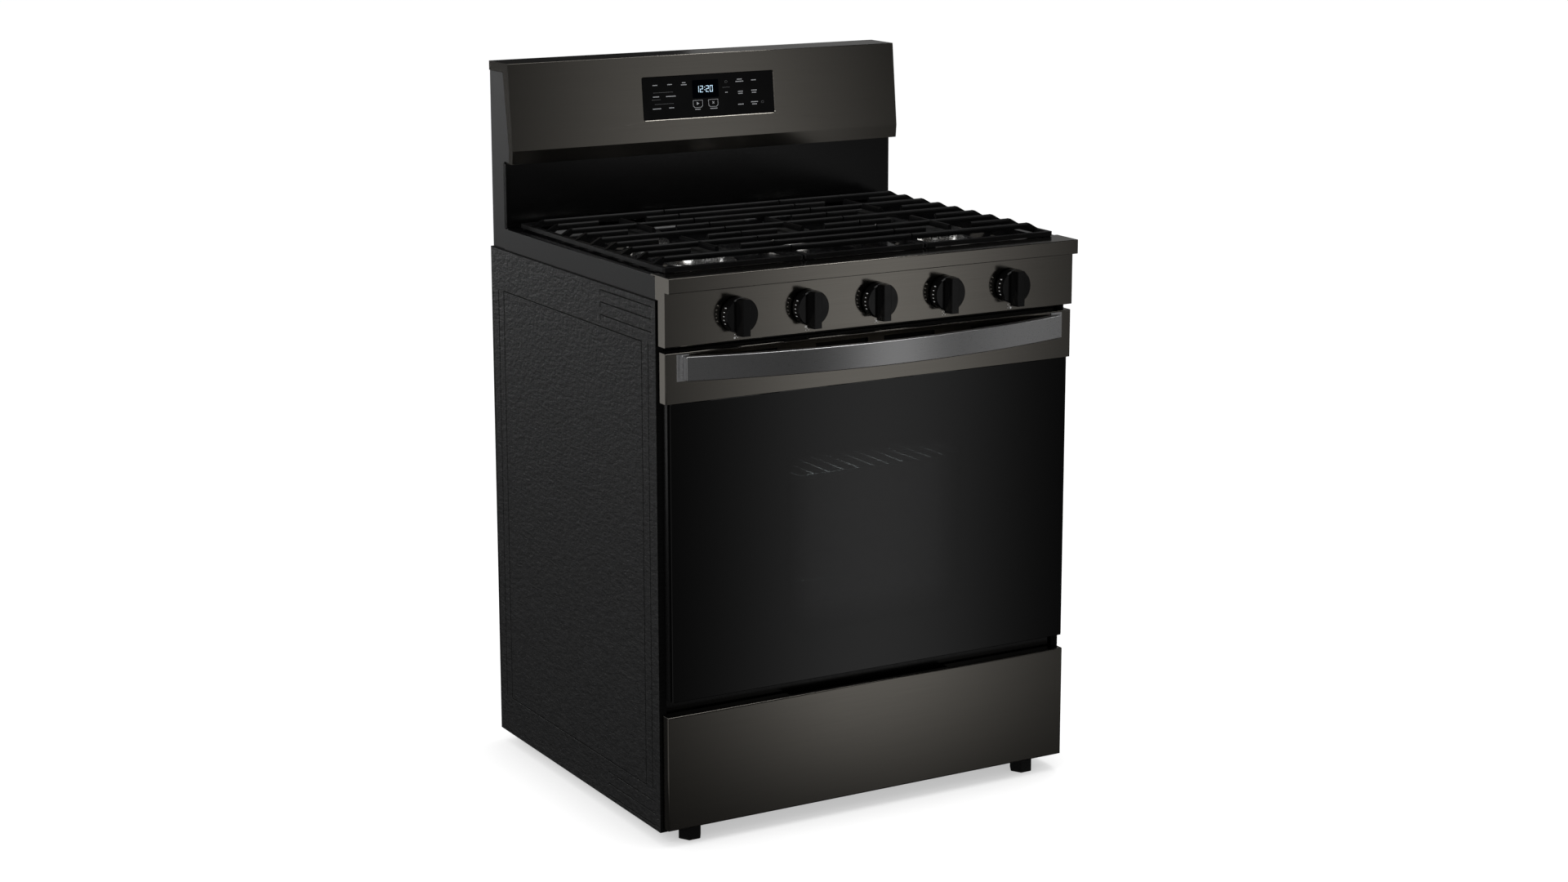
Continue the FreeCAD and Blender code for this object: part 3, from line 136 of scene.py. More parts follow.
def make_softbox():
    """Tall soft light, brightest along its middle, that the front faces mirror."""
    data = area_light("softbox", SOFTBOX_PLACE, (math.radians(90), 0, 0), SOFTBOX_SIZE, SOFTBOX_POWER)
    data.use_nodes = True
    tree = data.node_tree
    nodes, links = tree.nodes, tree.links

    def times(first, second):
        return math_node(tree, "MULTIPLY", first, second)

    def fade(value, heights):
        node = nodes.new("ShaderNodeMapRange")
        node.interpolation_type = "SMOOTHSTEP"
        node.inputs["From Min"].default_value, node.inputs["From Max"].default_value = heights
        links.new(value, node.inputs["Value"])
        return node.outputs["Result"]

    emission = next(n for n in nodes if n.type == "EMISSION")
    parts = nodes.new("ShaderNodeSeparateXYZ")
    links.new(nodes.new("ShaderNodeNewGeometry").outputs["Position"], parts.inputs[0])
    x, _, z = parts.outputs
    off = math_node(tree, "DIVIDE", math_node(tree, "SUBTRACT", x, SOFTBOX_PLACE[0]), SOFTBOX_SPREAD)
    bell = math_node(tree, "EXPONENT", times(times(off, off), -1.0))
    high = math_node(tree, "SUBTRACT", 1.0, times(fade(z, SOFTBOX_HEAD), SOFTBOX_HEAD_LOSS))
    links.new(times(bell, times(fade(z, SOFTBOX_FOOT), high)), emission.inputs["Strength"])


ROOM_STRENGTH = 0.018


def make_world():
    """White behind the object, a dim room in its reflections."""
    world = bpy.data.worlds.new("studio")
    bpy.context.scene.world = world
    world.use_nodes = True
    nodes, links = world.node_tree.nodes, world.node_tree.links
    nodes.clear()
    out = nodes.new("ShaderNodeOutputWorld")
    mix = nodes.new("ShaderNodeMixShader")
    room, pale = nodes.new("ShaderNodeBackground"), nodes.new("ShaderNodeBackground")
    for background, strength in ((room, ROOM_STRENGTH), (pale, 1.0)):
        background.inputs["Color"].default_value = (1, 1, 1, 1)
        background.inputs["Strength"].default_value = strength
    path = nodes.new("ShaderNodeLightPath")
    links.new(path.outputs["Is Camera Ray"], mix.inputs["Fac"])
    links.new(room.outputs[0], mix.inputs[1])
    links.new(pale.outputs[0], mix.inputs[2])
    links.new(mix.outputs[0], out.inputs[0])


FLOOR_HALF = 40.0
CONTACT_REACH = 0.17                  # how far from the object the painted contact shadow reaches
CONTACT_SHADOW_DARKEST = 0.45


def make_floor():
    """Pale floor that lights nothing and is mirrored by nothing, with a painted contact shadow next to the
    object.
    """
    mesh = bpy.data.meshes.new("floor")
    corners = [(FLOOR_HALF * x, FLOOR_HALF * y, 0) for x, y in ((-1, -1), (1, -1), (1, 1), (-1, 1))]
    mesh.from_pydata(corners, [], [(0, 1, 2, 3)])
    floor = bpy.data.objects.new("floor", mesh)
    bpy.context.scene.collection.objects.link(floor)
    paint = bpy.data.materials.new("floor_pale")
    paint.use_nodes = True
    bsdf = paint.node_tree.nodes["Principled BSDF"]
    bsdf.inputs["Base Color"].default_value = (0.5, 0.5, 0.5, 1)
    bsdf.inputs["Roughness"].default_value = 0.9
    bsdf.inputs["Emission Color"].default_value = (1, 1, 1, 1)
    nodes, links = paint.node_tree.nodes, paint.node_tree.links
    # painted contact shadow: the floor's glow dims where ambient occlusion finds the object near
    nearness = nodes.new("ShaderNodeAmbientOcclusion")
    nearness.inputs["Distance"].default_value = CONTACT_REACH
    shade = nodes.new("ShaderNodeMapRange")
    shade.inputs["To Min"].default_value = CONTACT_SHADOW_DARKEST
    links.new(nearness.outputs["AO"], shade.inputs["Value"])
    links.new(shade.outputs["Result"], bsdf.inputs["Emission Strength"])
    mesh.materials.append(paint)
    floor.visible_glossy = False
    floor.visible_diffuse = False
    floor.visible_transmission = False
    floor.visible_shadow = False


# ---------------------------------------------------------------- material helpers
class Paint:
    """A procedural material with its Principled shader and shortcuts for common node groups."""

    def __init__(self, name, base, rough, metallic=0.0):
        self.material = bpy.data.materials.new(name)
        self.material.use_nodes = True
        self.nodes = self.material.node_tree.nodes
        self.links = self.material.node_tree.links
        self.bsdf = self.nodes["Principled BSDF"]
        self.put("Base Color", (*base, 1))
        self.put("Roughness", rough)
        self.put("Metallic", metallic)
        self.base = base
        coord = self.nodes.new("ShaderNodeTexCoord")
        self.coord = coord.outputs["Object"]

    def put(self, socket, value):
        self.bsdf.inputs[socket].default_value = value

    def scaled(self, scale):
        mapping = self.nodes.new("ShaderNodeMapping")
        mapping.inputs["Scale"].default_value = scale
        self.links.new(self.coord, mapping.inputs["Vector"])
        return mapping.outputs["Vector"]

    def noise(self, scale=(1, 1, 1), size=1.0, detail=3.0, rough=0.5):
        node = self.nodes.new("ShaderNodeTexNoise")
        node.inputs["Scale"].default_value = size
        node.inputs["Detail"].default_value = detail
        node.inputs["Roughness"].default_value = rough
        self.links.new(self.scaled(scale), node.inputs["Vector"])
        return node.outputs["Fac"]

    def cells(self, size, output="Distance"):
        node = self.nodes.new("ShaderNodeTexVoronoi")
        node.inputs["Scale"].default_value = size
        self.links.new(self.coord, node.inputs["Vector"])
        return node.outputs[output]

    def spread(self, value, low, high, from_low=0.0, from_high=1.0):
        """Number between low and high, steered by value."""
        node = self.nodes.new("ShaderNodeMapRange")
        limits = {"From Min": from_low, "From Max": from_high, "To Min": low, "To Max": high}
        for name, number in limits.items():
            node.inputs[name].default_value = number
        self.links.new(value, node.inputs["Value"])
        return node.outputs["Result"]

    def shades(self, value, dark, pale, start=0.0, end=1.0):
        """Colour between two tones, steered by value."""
        node = self.nodes.new("ShaderNodeValToRGB")
        ramp = node.color_ramp
        ramp.elements[0].position, ramp.elements[1].position = start, end
        ramp.elements[0].color, ramp.elements[1].color = (*dark, 1), (*pale, 1)
        self.links.new(value, node.inputs["Fac"])
        return node.outputs["Color"]

    def bump(self, value, strength, depth):
        node = self.nodes.new("ShaderNodeBump")
        node.inputs["Strength"].default_value = strength
        node.inputs["Distance"].default_value = depth
        previous = self.bsdf.inputs["Normal"]
        if previous.is_linked:
            self.links.new(previous.links[0].from_socket, node.inputs["Normal"])
        self.links.new(value, node.inputs["Height"])
        self.links.new(node.outputs["Normal"], self.bsdf.inputs["Normal"])

    def axes(self):
        parts = self.nodes.new("ShaderNodeSeparateXYZ")
        self.links.new(self.coord, parts.inputs[0])
        return parts.outputs

    def math(self, kind, first, second=None):
        return math_node(self.material.node_tree, kind, first, second)

    def blend(self, factor, low, high):
        """A fixed colour where the factor is 0, a wired colour where it is 1."""
        node = self.nodes.new("ShaderNodeMix")
        node.data_type = "RGBA"
        self.links.new(factor, node.inputs["Factor"])
        colours = [socket for socket in node.inputs if socket.type == "RGBA"]
        colours[0].default_value = (*low, 1)
        self.links.new(high, colours[1])
        return next(socket for socket in node.outputs if socket.type == "RGBA")

    def wire(self, value, socket):
        self.links.new(value, self.bsdf.inputs[socket])


def tone(colour, factor):
    return tuple(min(1.0, c * factor) for c in colour)


# ---------------------------------------------------------------- materials
def black_stainless():
    """Dark brushed steel, its grain running along X, under a thin clear film."""
    p = Paint("black_stainless", (0.275, 0.258, 0.230), 0.15, 1.0)
    grain = p.noise((6, 500, 900), 1.0, 4.0, 0.65)
    cloud = p.noise((1, 1, 1), 3.0, 2.0)
    p.wire(p.shades(grain, tone(p.base, 0.95), tone(p.base, 1.05), 0.3, 0.7), "Base Color")
    p.wire(p.spread(cloud, 0.14, 0.165, 0.3, 0.7), "Roughness")
    p.bump(grain, 0.02, 0.00002)
    return p.material


def handle_metal():
    p = Paint("handle_metal", (0.74, 0.74, 0.745), 0.28, 1.0)
    grain = p.noise((5, 700, 900), 1.0, 4.0, 0.6)
    p.wire(p.shades(grain, tone(p.base, 0.97), tone(p.base, 1.03), 0.3, 0.7), "Base Color")
    p.wire(p.spread(grain, 0.27, 0.30, 0.3, 0.7), "Roughness")
    p.bump(grain, 0.02, 0.00002)
    return p.material


SKIN_DEPTH = (0.0005, 0.0001)         # below the side's face, where the painted shade in the grooves begins
RIM_DEPTH = (0.0016, 0.0012)          # below the side's top edge, where the painted shade along the top edge fades in
# near black painted shade for the grooves and the top band
GROOVE_AND_RIM_SHADE = (0.0012, 0.0012, 0.0012)


def charcoal_pebble():
    """Dark grey paint over a leather-like pebbled texture, with painted shade, near black, in the grooves
    and along the top edge.
    """
    p = Paint("charcoal_pebble", (0.025, 0.025, 0.0255), 0.42)
    wrinkle = p.noise((1, 75, 170), 1.0, 4.0, 0.62)
    fine = p.noise((1, 1, 1), 420.0, 3.0)
    x, _, z = p.axes()
    outside = p.spread(p.math("ABSOLUTE", x), 0.0, 1.0, *(SIDE_FACE - depth for depth in SKIN_DEPTH))
    below_rim = p.spread(z, 1.0, 0.0, *(SIDE_TOP - depth for depth in RIM_DEPTH))
    # 1 on the outer face, 0 in the grooves and the top band, where painted shade replaces the paint
    skin = p.math("MULTIPLY", outside, below_rim)
    paint = p.shades(wrinkle, tone(p.base, 0.75), tone(p.base, 1.3), 0.35, 0.65)
    p.wire(p.blend(skin, GROOVE_AND_RIM_SHADE, paint), "Base Color")
    rough = p.spread(wrinkle, 0.36, 0.5, 0.3, 0.7)
    p.wire(p.math("SUBTRACT", 1.0, p.math("MULTIPLY", skin, p.math("SUBTRACT", 1.0, rough))), "Roughness")
    p.bump(wrinkle, 0.9, 0.0021)
    p.bump(fine, 0.25, 0.0003)
    return p.material


def charcoal_smooth():
    p = Paint("charcoal_smooth", (0.030, 0.030, 0.0305), 0.45)
    orange_peel = p.noise((1, 1, 1), 380.0, 3.0)
    p.wire(p.shades(orange_peel, tone(p.base, 0.9), tone(p.base, 1.12), 0.3, 0.7), "Base Color")
    p.bump(orange_peel, 0.15, 0.0002)
    return p.material


def gloss_black_paint():
    p = Paint("gloss_black_paint", (0.003, 0.003, 0.003), 0.2)
    peel = p.noise((1, 1, 1), 220.0, 3.0)
    p.wire(p.spread(peel, 0.19, 0.25, 0.3, 0.7), "Roughness")
    p.bump(peel, 0.02, 0.0001)
    return p.material


def cooktop_enamel():
    """Gloss black porcelain with a faint ripple and pin-point sparkle."""
    p = Paint("cooktop_enamel", (0.0045, 0.0045, 0.005), 0.09)
    ripple = p.noise((1, 1, 1), 34.0, 2.0)
    specks = p.cells(900.0)
    p.wire(p.shades(specks, (0.03, 0.03, 0.034), p.base, 0.02, 0.12), "Base Color")
    p.wire(p.spread(ripple, 0.06, 0.13, 0.3, 0.7), "Roughness")
    p.bump(ripple, 0.12, 0.0006)
    return p.material


def cap_enamel():
    p = Paint("cap_enamel", (0.012, 0.012, 0.012), 0.42)
    grain = p.noise((1, 1, 1), 500.0, 4.0)
    p.wire(p.spread(grain, 0.36, 0.5, 0.3, 0.7), "Roughness")
    p.bump(grain, 0.25, 0.0003)
    return p.material


def cast_iron():
    """Matte porcelain over a sand-cast surface, slightly paler where it is worn."""
    p = Paint("cast_iron", (0.006, 0.006, 0.0062), 0.42)
    p.put("IOR", 1.3)
    sand = p.noise((1, 1, 1), 700.0, 5.0, 0.65)
    wear = p.noise((1, 1, 1), 18.0, 4.0)
    p.wire(p.shades(wear, tone(p.base, 0.7), tone(p.base, 1.7), 0.35, 0.75), "Base Color")
    p.wire(p.spread(sand, 0.3, 0.5, 0.3, 0.7), "Roughness")
    p.bump(sand, 0.35, 0.0003)
    return p.material


def cast_aluminium():
    p = Paint("cast_aluminium", (0.78, 0.78, 0.77), 0.34, 1.0)
    sand = p.noise((1, 1, 1), 800.0, 4.0)
    stain = p.noise((1, 1, 1), 45.0, 3.0)
    p.wire(p.shades(stain, (0.62, 0.60, 0.57), (0.84, 0.84, 0.83), 0.3, 0.6), "Base Color")
    p.wire(p.spread(sand, 0.18, 0.3, 0.3, 0.7), "Roughness")
    p.bump(sand, 0.15, 0.0001)
    return p.material


def galvanized():
    """Zinc-coated sheet with its spangle."""
    p = Paint("galvanized", (0.52, 0.53, 0.54), 0.4, 1.0)
    spangle = p.cells(85.0, "Color")
    fine = p.noise((1, 1, 1), 300.0, 3.0)
    p.wire(p.shades(spangle, (0.42, 0.43, 0.45), (0.6, 0.61, 0.62), 0.1, 0.9), "Base Color")
    p.wire(p.spread(spangle, 0.32, 0.5), "Roughness")
    p.bump(fine, 0.1, 0.0001)
    return p.material


def plain_steel():
    p = Paint("plain_steel", (0.5, 0.5, 0.5), 0.32, 1.0)
    fine = p.noise((1, 1, 1), 400.0, 3.0)
    p.wire(p.spread(fine, 0.25, 0.42, 0.3, 0.7), "Roughness")
    p.wire(p.shades(fine, (0.42, 0.42, 0.43), (0.56, 0.56, 0.56), 0.3, 0.7), "Base Color")
    return p.material


def aluminised_steel():
    p = Paint("aluminised_steel", (0.45, 0.45, 0.46), 0.5, 1.0)
    blotch = p.noise((1, 1, 1), 60.0, 4.0)
    p.wire(p.shades(blotch, (0.36, 0.36, 0.38), (0.5, 0.5, 0.5), 0.3, 0.7), "Base Color")
    p.wire(p.spread(blotch, 0.42, 0.58, 0.3, 0.7), "Roughness")
    return p.material


def oven_enamel():
    """Dark blue-grey porcelain with pale speckles."""
    p = Paint("oven_enamel", (0.018, 0.020, 0.026), 0.24)
    specks = p.cells(420.0)
    peel = p.noise((1, 1, 1), 120.0, 2.0)
    p.wire(p.shades(specks, (0.32, 0.34, 0.38), p.base, 0.06, 0.2), "Base Color")
    p.wire(p.spread(peel, 0.2, 0.3, 0.3, 0.7), "Roughness")
    p.bump(peel, 0.1, 0.0003)
    return p.material


def chrome_wire():
    p = Paint("chrome_wire", (0.72, 0.72, 0.73), 0.16, 1.0)
    fine = p.noise((1, 1, 1), 500.0, 2.0)
    p.wire(p.spread(fine, 0.12, 0.24, 0.3, 0.7), "Roughness")
    p.wire(p.shades(fine, (0.66, 0.66, 0.66), (0.76, 0.76, 0.77), 0.3, 0.7), "Base Color")
    return p.material


def brass():
    p = Paint("brass", (0.62, 0.45, 0.2), 0.3, 1.0)
    fine = p.noise((1, 60, 60), 20.0, 3.0)
    p.wire(p.shades(fine, (0.5, 0.36, 0.15), (0.68, 0.5, 0.24), 0.3, 0.7), "Base Color")
    p.wire(p.spread(fine, 0.24, 0.4, 0.3, 0.7), "Roughness")
    return p.material


def ceramic_white():
    p = Paint("ceramic_white", (0.78, 0.75, 0.68), 0.6)
    fine = p.noise((1, 1, 1), 600.0, 3.0)
    p.wire(p.shades(fine, (0.7, 0.67, 0.6), (0.83, 0.8, 0.74), 0.3, 0.7), "Base Color")
    p.bump(fine, 0.2, 0.0001)
    return p.material


def glass_wool():
    p = Paint("glass_wool", (0.72, 0.62, 0.33), 0.95)
    fibres = p.noise((1, 4, 9), 90.0, 6.0, 0.7)
    p.wire(p.shades(fibres, (0.55, 0.46, 0.2), (0.85, 0.77, 0.5), 0.3, 0.7), "Base Color")
    p.bump(fibres, 0.9, 0.004)
    return p.material


def woven_seal():
    """Braided glass fibre."""
    p = Paint("woven_seal", (0.16, 0.155, 0.15), 0.8)
    braid = p.cells(520.0)
    p.wire(p.shades(braid, (0.28, 0.27, 0.26), (0.07, 0.07, 0.07), 0.1, 0.7), "Base Color")
    p.bump(braid, 0.8, 0.0008)
    return p.material


def clear_glass():
    p = Paint("clear_glass", (0.75, 0.8, 0.8), 0.03)
    p.put("Transmission Weight", 1.0)
    p.put("IOR", 1.45)
    film = p.noise((1, 1, 1), 8.0, 2.0)
    p.wire(p.spread(film, 0.01, 0.05, 0.3, 0.7), "Roughness")
    return p.material


def black_glass_paint():
    """Back-printed glass: a deep black under a mirror-smooth face."""
    p = Paint("black_glass", (0.0015, 0.0015, 0.0016), 0.05)
    p.put("IOR", 1.50)
    film = p.noise((1, 1, 1), 5.0, 3.0)
    p.wire(p.shades(film, (0.0012, 0.0012, 0.0012), (0.0019, 0.0019, 0.002), 0.3, 0.7), "Base Color")
    p.wire(p.spread(film, 0.035, 0.06, 0.3, 0.7), "Roughness")
    return p


def black_glass():
    return black_glass_paint().material


WINDOW_MIDDLE = 0.47                  # height of the see-through part of the door's glass
WINDOW_HALF = (0.165, 0.15)
WINDOW_TINT = (0.15, 0.15, 0.15)
WINDOW_CUT = (0.0, 0.004)             # from the window's edge inwards, where the glass turns clear
WINDOW_FADE = (0.006, 0.05)           # and where its tint fades in


def door_window_glass():
    """The door's black glass, thinly see-through over the window."""
    p = black_glass_paint()
    x, _, z = p.axes()
    across = p.math("ABSOLUTE", x)
    upright = p.math("ABSOLUTE", p.math("SUBTRACT", z, WINDOW_MIDDLE))

    def mask(edges):
        inner, outer = edges
        sides = [p.spread(value, 1.0, 0.0, half - outer, half - inner)
                 for value, half in zip((across, upright), WINDOW_HALF)]
        return p.math("MULTIPLY", *sides)

    p.wire(mask(WINDOW_CUT), "Transmission Weight")
    p.wire(p.shades(mask(WINDOW_FADE), p.base, WINDOW_TINT), "Base Color")
    p.material.name = "door_window_glass"
    return p.material


def display_black():
    """Printed touch glass with an anti-glare face."""
    p = Paint("display_black", (0.0025, 0.0025, 0.0028), 0.2)
    p.put("IOR", 1.28)
    film = p.noise((1, 1, 1), 30.0, 2.0)
    p.wire(p.spread(film, 0.17, 0.23, 0.3, 0.7), "Roughness")
    return p.material


def circuit_board():
    p = Paint("circuit_board", (0.02, 0.11, 0.045), 0.5)
    tracks = p.cells(160.0, "Color")
    p.wire(p.shades(tracks, (0.012, 0.07, 0.03), (0.03, 0.16, 0.06), 0.3, 0.7), "Base Color")
    return p.material


def moulded_black():
    p = Paint("moulded_black", (0.012, 0.012, 0.012), 0.5)
    grain = p.noise((1, 1, 1), 600.0, 3.0)
    p.wire(p.spread(grain, 0.42, 0.6, 0.3, 0.7), "Roughness")
    p.bump(grain, 0.25, 0.0002)
    return p.material


def knob_black():
    """Gloss black knob with very fine moulding ripple."""
    p = Paint("knob_black", (0.0045, 0.0045, 0.0047), 0.12)
    ripple = p.noise((1, 1, 1), 60.0, 3.0)
    p.put("IOR", 1.38)
    p.wire(p.spread(ripple, 0.1, 0.17, 0.3, 0.7), "Roughness")
    p.bump(ripple, 0.04, 0.0002)
    return p.material


def glowing_printed_white():
    p = Paint("glowing_printed_white", (0.7, 0.7, 0.69), 0.5)
    # painted glow: the white print gives off light of its own so that it reads bright
    p.put("Emission Color", (1, 1, 1, 1))
    p.put("Emission Strength", 0.22)
    ink = p.noise((1, 1, 1), 900.0, 2.0)
    p.wire(p.shades(ink, (0.5, 0.5, 0.48), (0.7, 0.7, 0.68), 0.3, 0.7), "Base Color")
    return p.material


def glow(name, colour, strength):
    p = Paint(name, colour, 0.4)
    flicker = p.noise((1, 1, 1), 300.0, 2.0)
    p.wire(p.shades(flicker, tone(colour, 0.85), colour, 0.3, 0.6), "Base Color")
    p.put("Emission Color", (*colour, 1))
    p.put("Emission Strength", strength)
    return p.material


SLOT_MAKERS = {
    "black_stainless": black_stainless, "handle_metal": handle_metal, "charcoal_paint": charcoal_pebble,
    "charcoal_smooth": charcoal_smooth, "black_paint": gloss_black_paint, "galvanized": galvanized,
    "steel": plain_steel, "woven_seal": woven_seal, "glass_wool": glass_wool, "oven_enamel": oven_enamel,
    "cooktop_enamel": cooktop_enamel, "cap_enamel": cap_enamel, "cast_iron": cast_iron,
    "cast_aluminium": cast_aluminium, "tube_aluminium": cast_aluminium, "aluminised_steel": aluminised_steel,
    "chrome_wire": chrome_wire, "brass": brass, "ceramic_white": ceramic_white, "clear_glass": clear_glass,
    "black_glass": black_glass, "board_plastic": circuit_board, "black_plastic": moulded_black,
    "knob_black": knob_black}

NODE_MAKERS = {"door_glass": door_window_glass, "display_glass": display_black}


def paint_nodes():
    """Every CAD node takes the material of its slot, or its own where it has one."""
    made = {}
    for entry in frame["record"]["subparts"]:
        name, slot = entry["node"], entry["material_slot"]
        maker = NODE_MAKERS.get(name, SLOT_MAKERS[slot])
        if maker not in made:
            made[maker] = maker()
        mesh = NODES[name].data
        mesh.materials.clear()
        mesh.materials.append(made[maker])


# ---------------------------------------------------------------- softened edges on CAD sheet and cast parts
# millimetres
EDGE_RADIUS = {
    "side_panel_left": 0.3, "side_panel_right": 0.3, "cooktop_side_trims": 0.4, "backguard_rear_cover": 0.5,
    "backguard_front": 0.4, "backsplash_panel": 0.5, "control_panel": 0.5, "door_trim_band": 0.3,
    "drawer_front": 0.3, "front_frame": 0.3, "door_frame": 0.5, "door_inner_panel": 0.8, "back_panel": 0.3,
    "grate_left": 0.7, "grate_center": 0.7, "grate_right": 0.7, "burner_heads": 0.3, "cooktop": 0.5}
WELD_DISTANCE = 0.00002
BEVEL_ANGLE = math.radians(38)        # sharper folds than this are rounded


def soften_edges():
    for name, radius in EDGE_RADIUS.items():
        piece = NODES[name]
        weld = piece.modifiers.new("weld", "WELD")
        weld.merge_threshold = WELD_DISTANCE
        bevel = piece.modifiers.new("bevel", "BEVEL")
        bevel.width = radius * MM
        bevel.segments = 2
        bevel.limit_method = "ANGLE"
        bevel.angle_limit = BEVEL_ANGLE


# ---------------------------------------------------------------- mesh pieces
INK = 0.0002                          # thickness of printed marks


def piece_from(name, bm, material, body):
    mesh = bpy.data.meshes.new(name)
    bm.normal_update()
    bm.to_mesh(mesh)
    bm.free()
    mesh.materials.append(material)
    piece = bpy.data.objects.new(name, mesh)
    bpy.context.scene.collection.objects.link(piece)
    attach(piece, body)
    return piece


def add_plate(bm, outline, thick, place):
    """Thin plate: outline of (x, z) points, its front at y = 0, carried by the matrix place."""
    front = [bm.verts.new(place @ Vector((x, 0.0, z))) for x, z in outline]
    back = [bm.verts.new(place @ Vector((x, thick, z))) for x, z in outline]
    bm.faces.new(front[::-1])
    bm.faces.new(back)
    for i in range(len(outline)):
        j = (i + 1) % len(outline)
        bm.faces.new((front[i], front[j], back[j], back[i]))


def rectangle(x0, x1, z0, z1):
    return [(x0, z0), (x0, z1), (x1, z1), (x1, z0)]


def round_rectangle(x0, x1, z0, z1, corner, steps=5):
    points = []
    for cx, cz, start in ((x0 + corner, z0 + corner, 180), (x0 + corner, z1 - corner, 90),
                          (x1 - corner, z1 - corner, 0), (x1 - corner, z0 + corner, 270)):
        for i in range(steps + 1):
            a = math.radians(start + 90 - 90 * i / steps)
            points.append((cx + corner * math.cos(a), cz + corner * math.sin(a)))
    return points


def add_ring(bm, outer, inner, place):
    """Printed line between two outlines of (x, z) points."""
    rows = []
    for outline, y in ((outer, 0.0), (inner, 0.0), (inner, INK), (outer, INK)):
        rows.append([bm.verts.new(place @ Vector((x, y, z))) for x, z in outline])
    for r in range(4):
        row, above = rows[r], rows[(r + 1) % 4]
        for i in range(len(outer)):
            j = (i + 1) % len(outer)
            bm.faces.new((row[i], row[j], above[j], above[i]))


# ---------------------------------------------------------------- display
FACE_LEAN = math.atan2(14.9, 144.1)   # the backguard's face leans back this much over its height


def display_place():
    """Matrix from display coordinates (x across, z up the slope, y into the glass) to the row frame."""
    base = Vector((0.0, DISPLAY_LOW[1], DISPLAY_LOW[2]))
    return Matrix.Translation(base) @ Matrix.Rotation(-FACE_LEAN, 4, "X")


SEGMENTS = {"0": "abcdef", "1": "bc", "2": "abged"}


DIGIT_WIDE, DIGIT_TALL, DIGIT_LINE, DIGIT_STEP = 0.0056, 0.0110, 0.0009, 0.0078
CLOCK_LEFT, CLOCK_LOW, COLON_ROOM = -0.0246, 0.0425, 0.0034
COLON_DOTS, COLON_DOT = (0.0034, 0.0079), 0.0012
CLOCK_WINDOW = (-0.0318, 0.0192, 0.0328, 0.0636)


def seven_segment(bm, digit, x, z, place):
    top, right, mid = z + DIGIT_TALL, x + DIGIT_WIDE, z + DIGIT_TALL / 2
    line = DIGIT_LINE
    gap = line * 0.25
    bars = {"a": (x + gap, right - gap, top - line, top), "d": (x + gap, right - gap, z, z + line),
            "g": (x + gap, right - gap, mid - line / 2, mid + line / 2),
            "f": (x, x + line, mid + gap, top - gap), "b": (right - line, right, mid + gap, top - gap),
            "e": (x, x + line, z + gap, mid - gap), "c": (right - line, right, z + gap, mid - gap)}
    for key in SEGMENTS[digit]:
        add_plate(bm, rectangle(*bars[key]), INK, place)


# x and height on the glass, then length of each printed dash, in millimetres
DASHES = [(-103.0, 58.8, 9.5), (-74.9, 58.8, 9.0), (-47.6, 60.6, 7.0), (-47.6, 57.0, 11.0),
          (-102.0, 39.2, 12.0), (-73.6, 38.8, 19.0), (-101.5, 18.8, 16.0), (-73.4, 19.2, 10.0),
          (61.2, 61.0, 10.0), (61.2, 57.2, 15.5), (88.9, 58.2, 9.5), (62.0, 40.0, 10.0), (62.0, 36.4, 9.0),
          (89.0, 40.6, 11.0), (89.0, 36.8, 9.0), (61.8, 17.8, 11.5), (88.8, 20.6, 14.0), (88.8, 16.8, 9.5),
          (-22.8, 13.8, 10.5), (8.4, 13.8, 14.0), (34.6, 39.8, 5.0)]
FAINT_LINES = [(-88.0, 46.0, 38.0), (-102.0, 34.2, 17.0), (-87.0, 26.5, 37.0), (34.4, 48.5, 15.0)]
DASH_TALL, FAINT_TALL = 1.4, 0.7
DASH_STEP, FAINT_STEP = 2.6, 3.4
DASH_FILL = 0.82                      # inked part of each step
KEYS = [(-22.4, "start"), (7.6, "stop")]
KEY_HALF, KEY_LOW, KEY_HIGH = 9.4, 16.6, 29.4
KEY_CUT, KEY_LINE = 3.0, 0.55
KEY_SIGN = (KEY_LOW + KEY_HIGH) / 2 + 0.8
SMALL_FRAMES = [(34.4, 58.0), (104.5, 19.6)]
FRAME_HALF, FRAME_CORNER, FRAME_LINE = (2.4, 2.0), 1.4, 0.5


def metres(points):
    return [(x * MM, z * MM) for x, z in points]


def key_outline(bm, middle, place):
    """Key with cut lower corners, drawn as a thin line."""

    def outline(inset):
        x0, x1 = middle - KEY_HALF + inset, middle + KEY_HALF - inset
        z0, z1 = KEY_LOW + inset, KEY_HIGH - inset
        return metres([(x0, z1), (x1, z1), (x1, z0 + KEY_CUT), (x1 - KEY_CUT, z0), (x0 + KEY_CUT, z0),
                       (x0, z0 + KEY_CUT)])

    add_ring(bm, outline(0.0), outline(KEY_LINE), place)


def small_frame(bm, x, z, place):
    """Small round-cornered frame, drawn as a thin line."""

    def outline(inset):
        across, up = FRAME_HALF[0] - inset, FRAME_HALF[1] - inset
        return metres(round_rectangle(x - across, x + across, z - up, z + up, FRAME_CORNER - inset))

    add_ring(bm, outline(0.0), outline(FRAME_LINE), place)


def dash_row(bm, dashes, tall, gap_every, place):
    """Short bars that stand for the printed words."""
    for x, z, long in dashes:
        count = max(1, round(long / gap_every))
        step = long / count
        for i in range(count):
            start = x - long / 2 + i * step
            bar = rectangle(start, start + step * DASH_FILL, z - tall / 2, z + tall / 2)
            add_plate(bm, metres(bar), INK, place)


def glowing_legend_ink(name, shade, strength):
    p = Paint(name, (shade, shade, shade * 1.02), 0.5)
    grey = (shade * 0.85, shade * 0.85, shade * 0.87)
    p.wire(p.shades(p.noise((1, 1, 1), 800.0), grey, p.base), "Base Color")
    # painted glow: the printed legend gives off light of its own
    p.put("Emission Color", (0.85, 0.88, 0.92, 1))
    p.put("Emission Strength", strength)
    return p.material


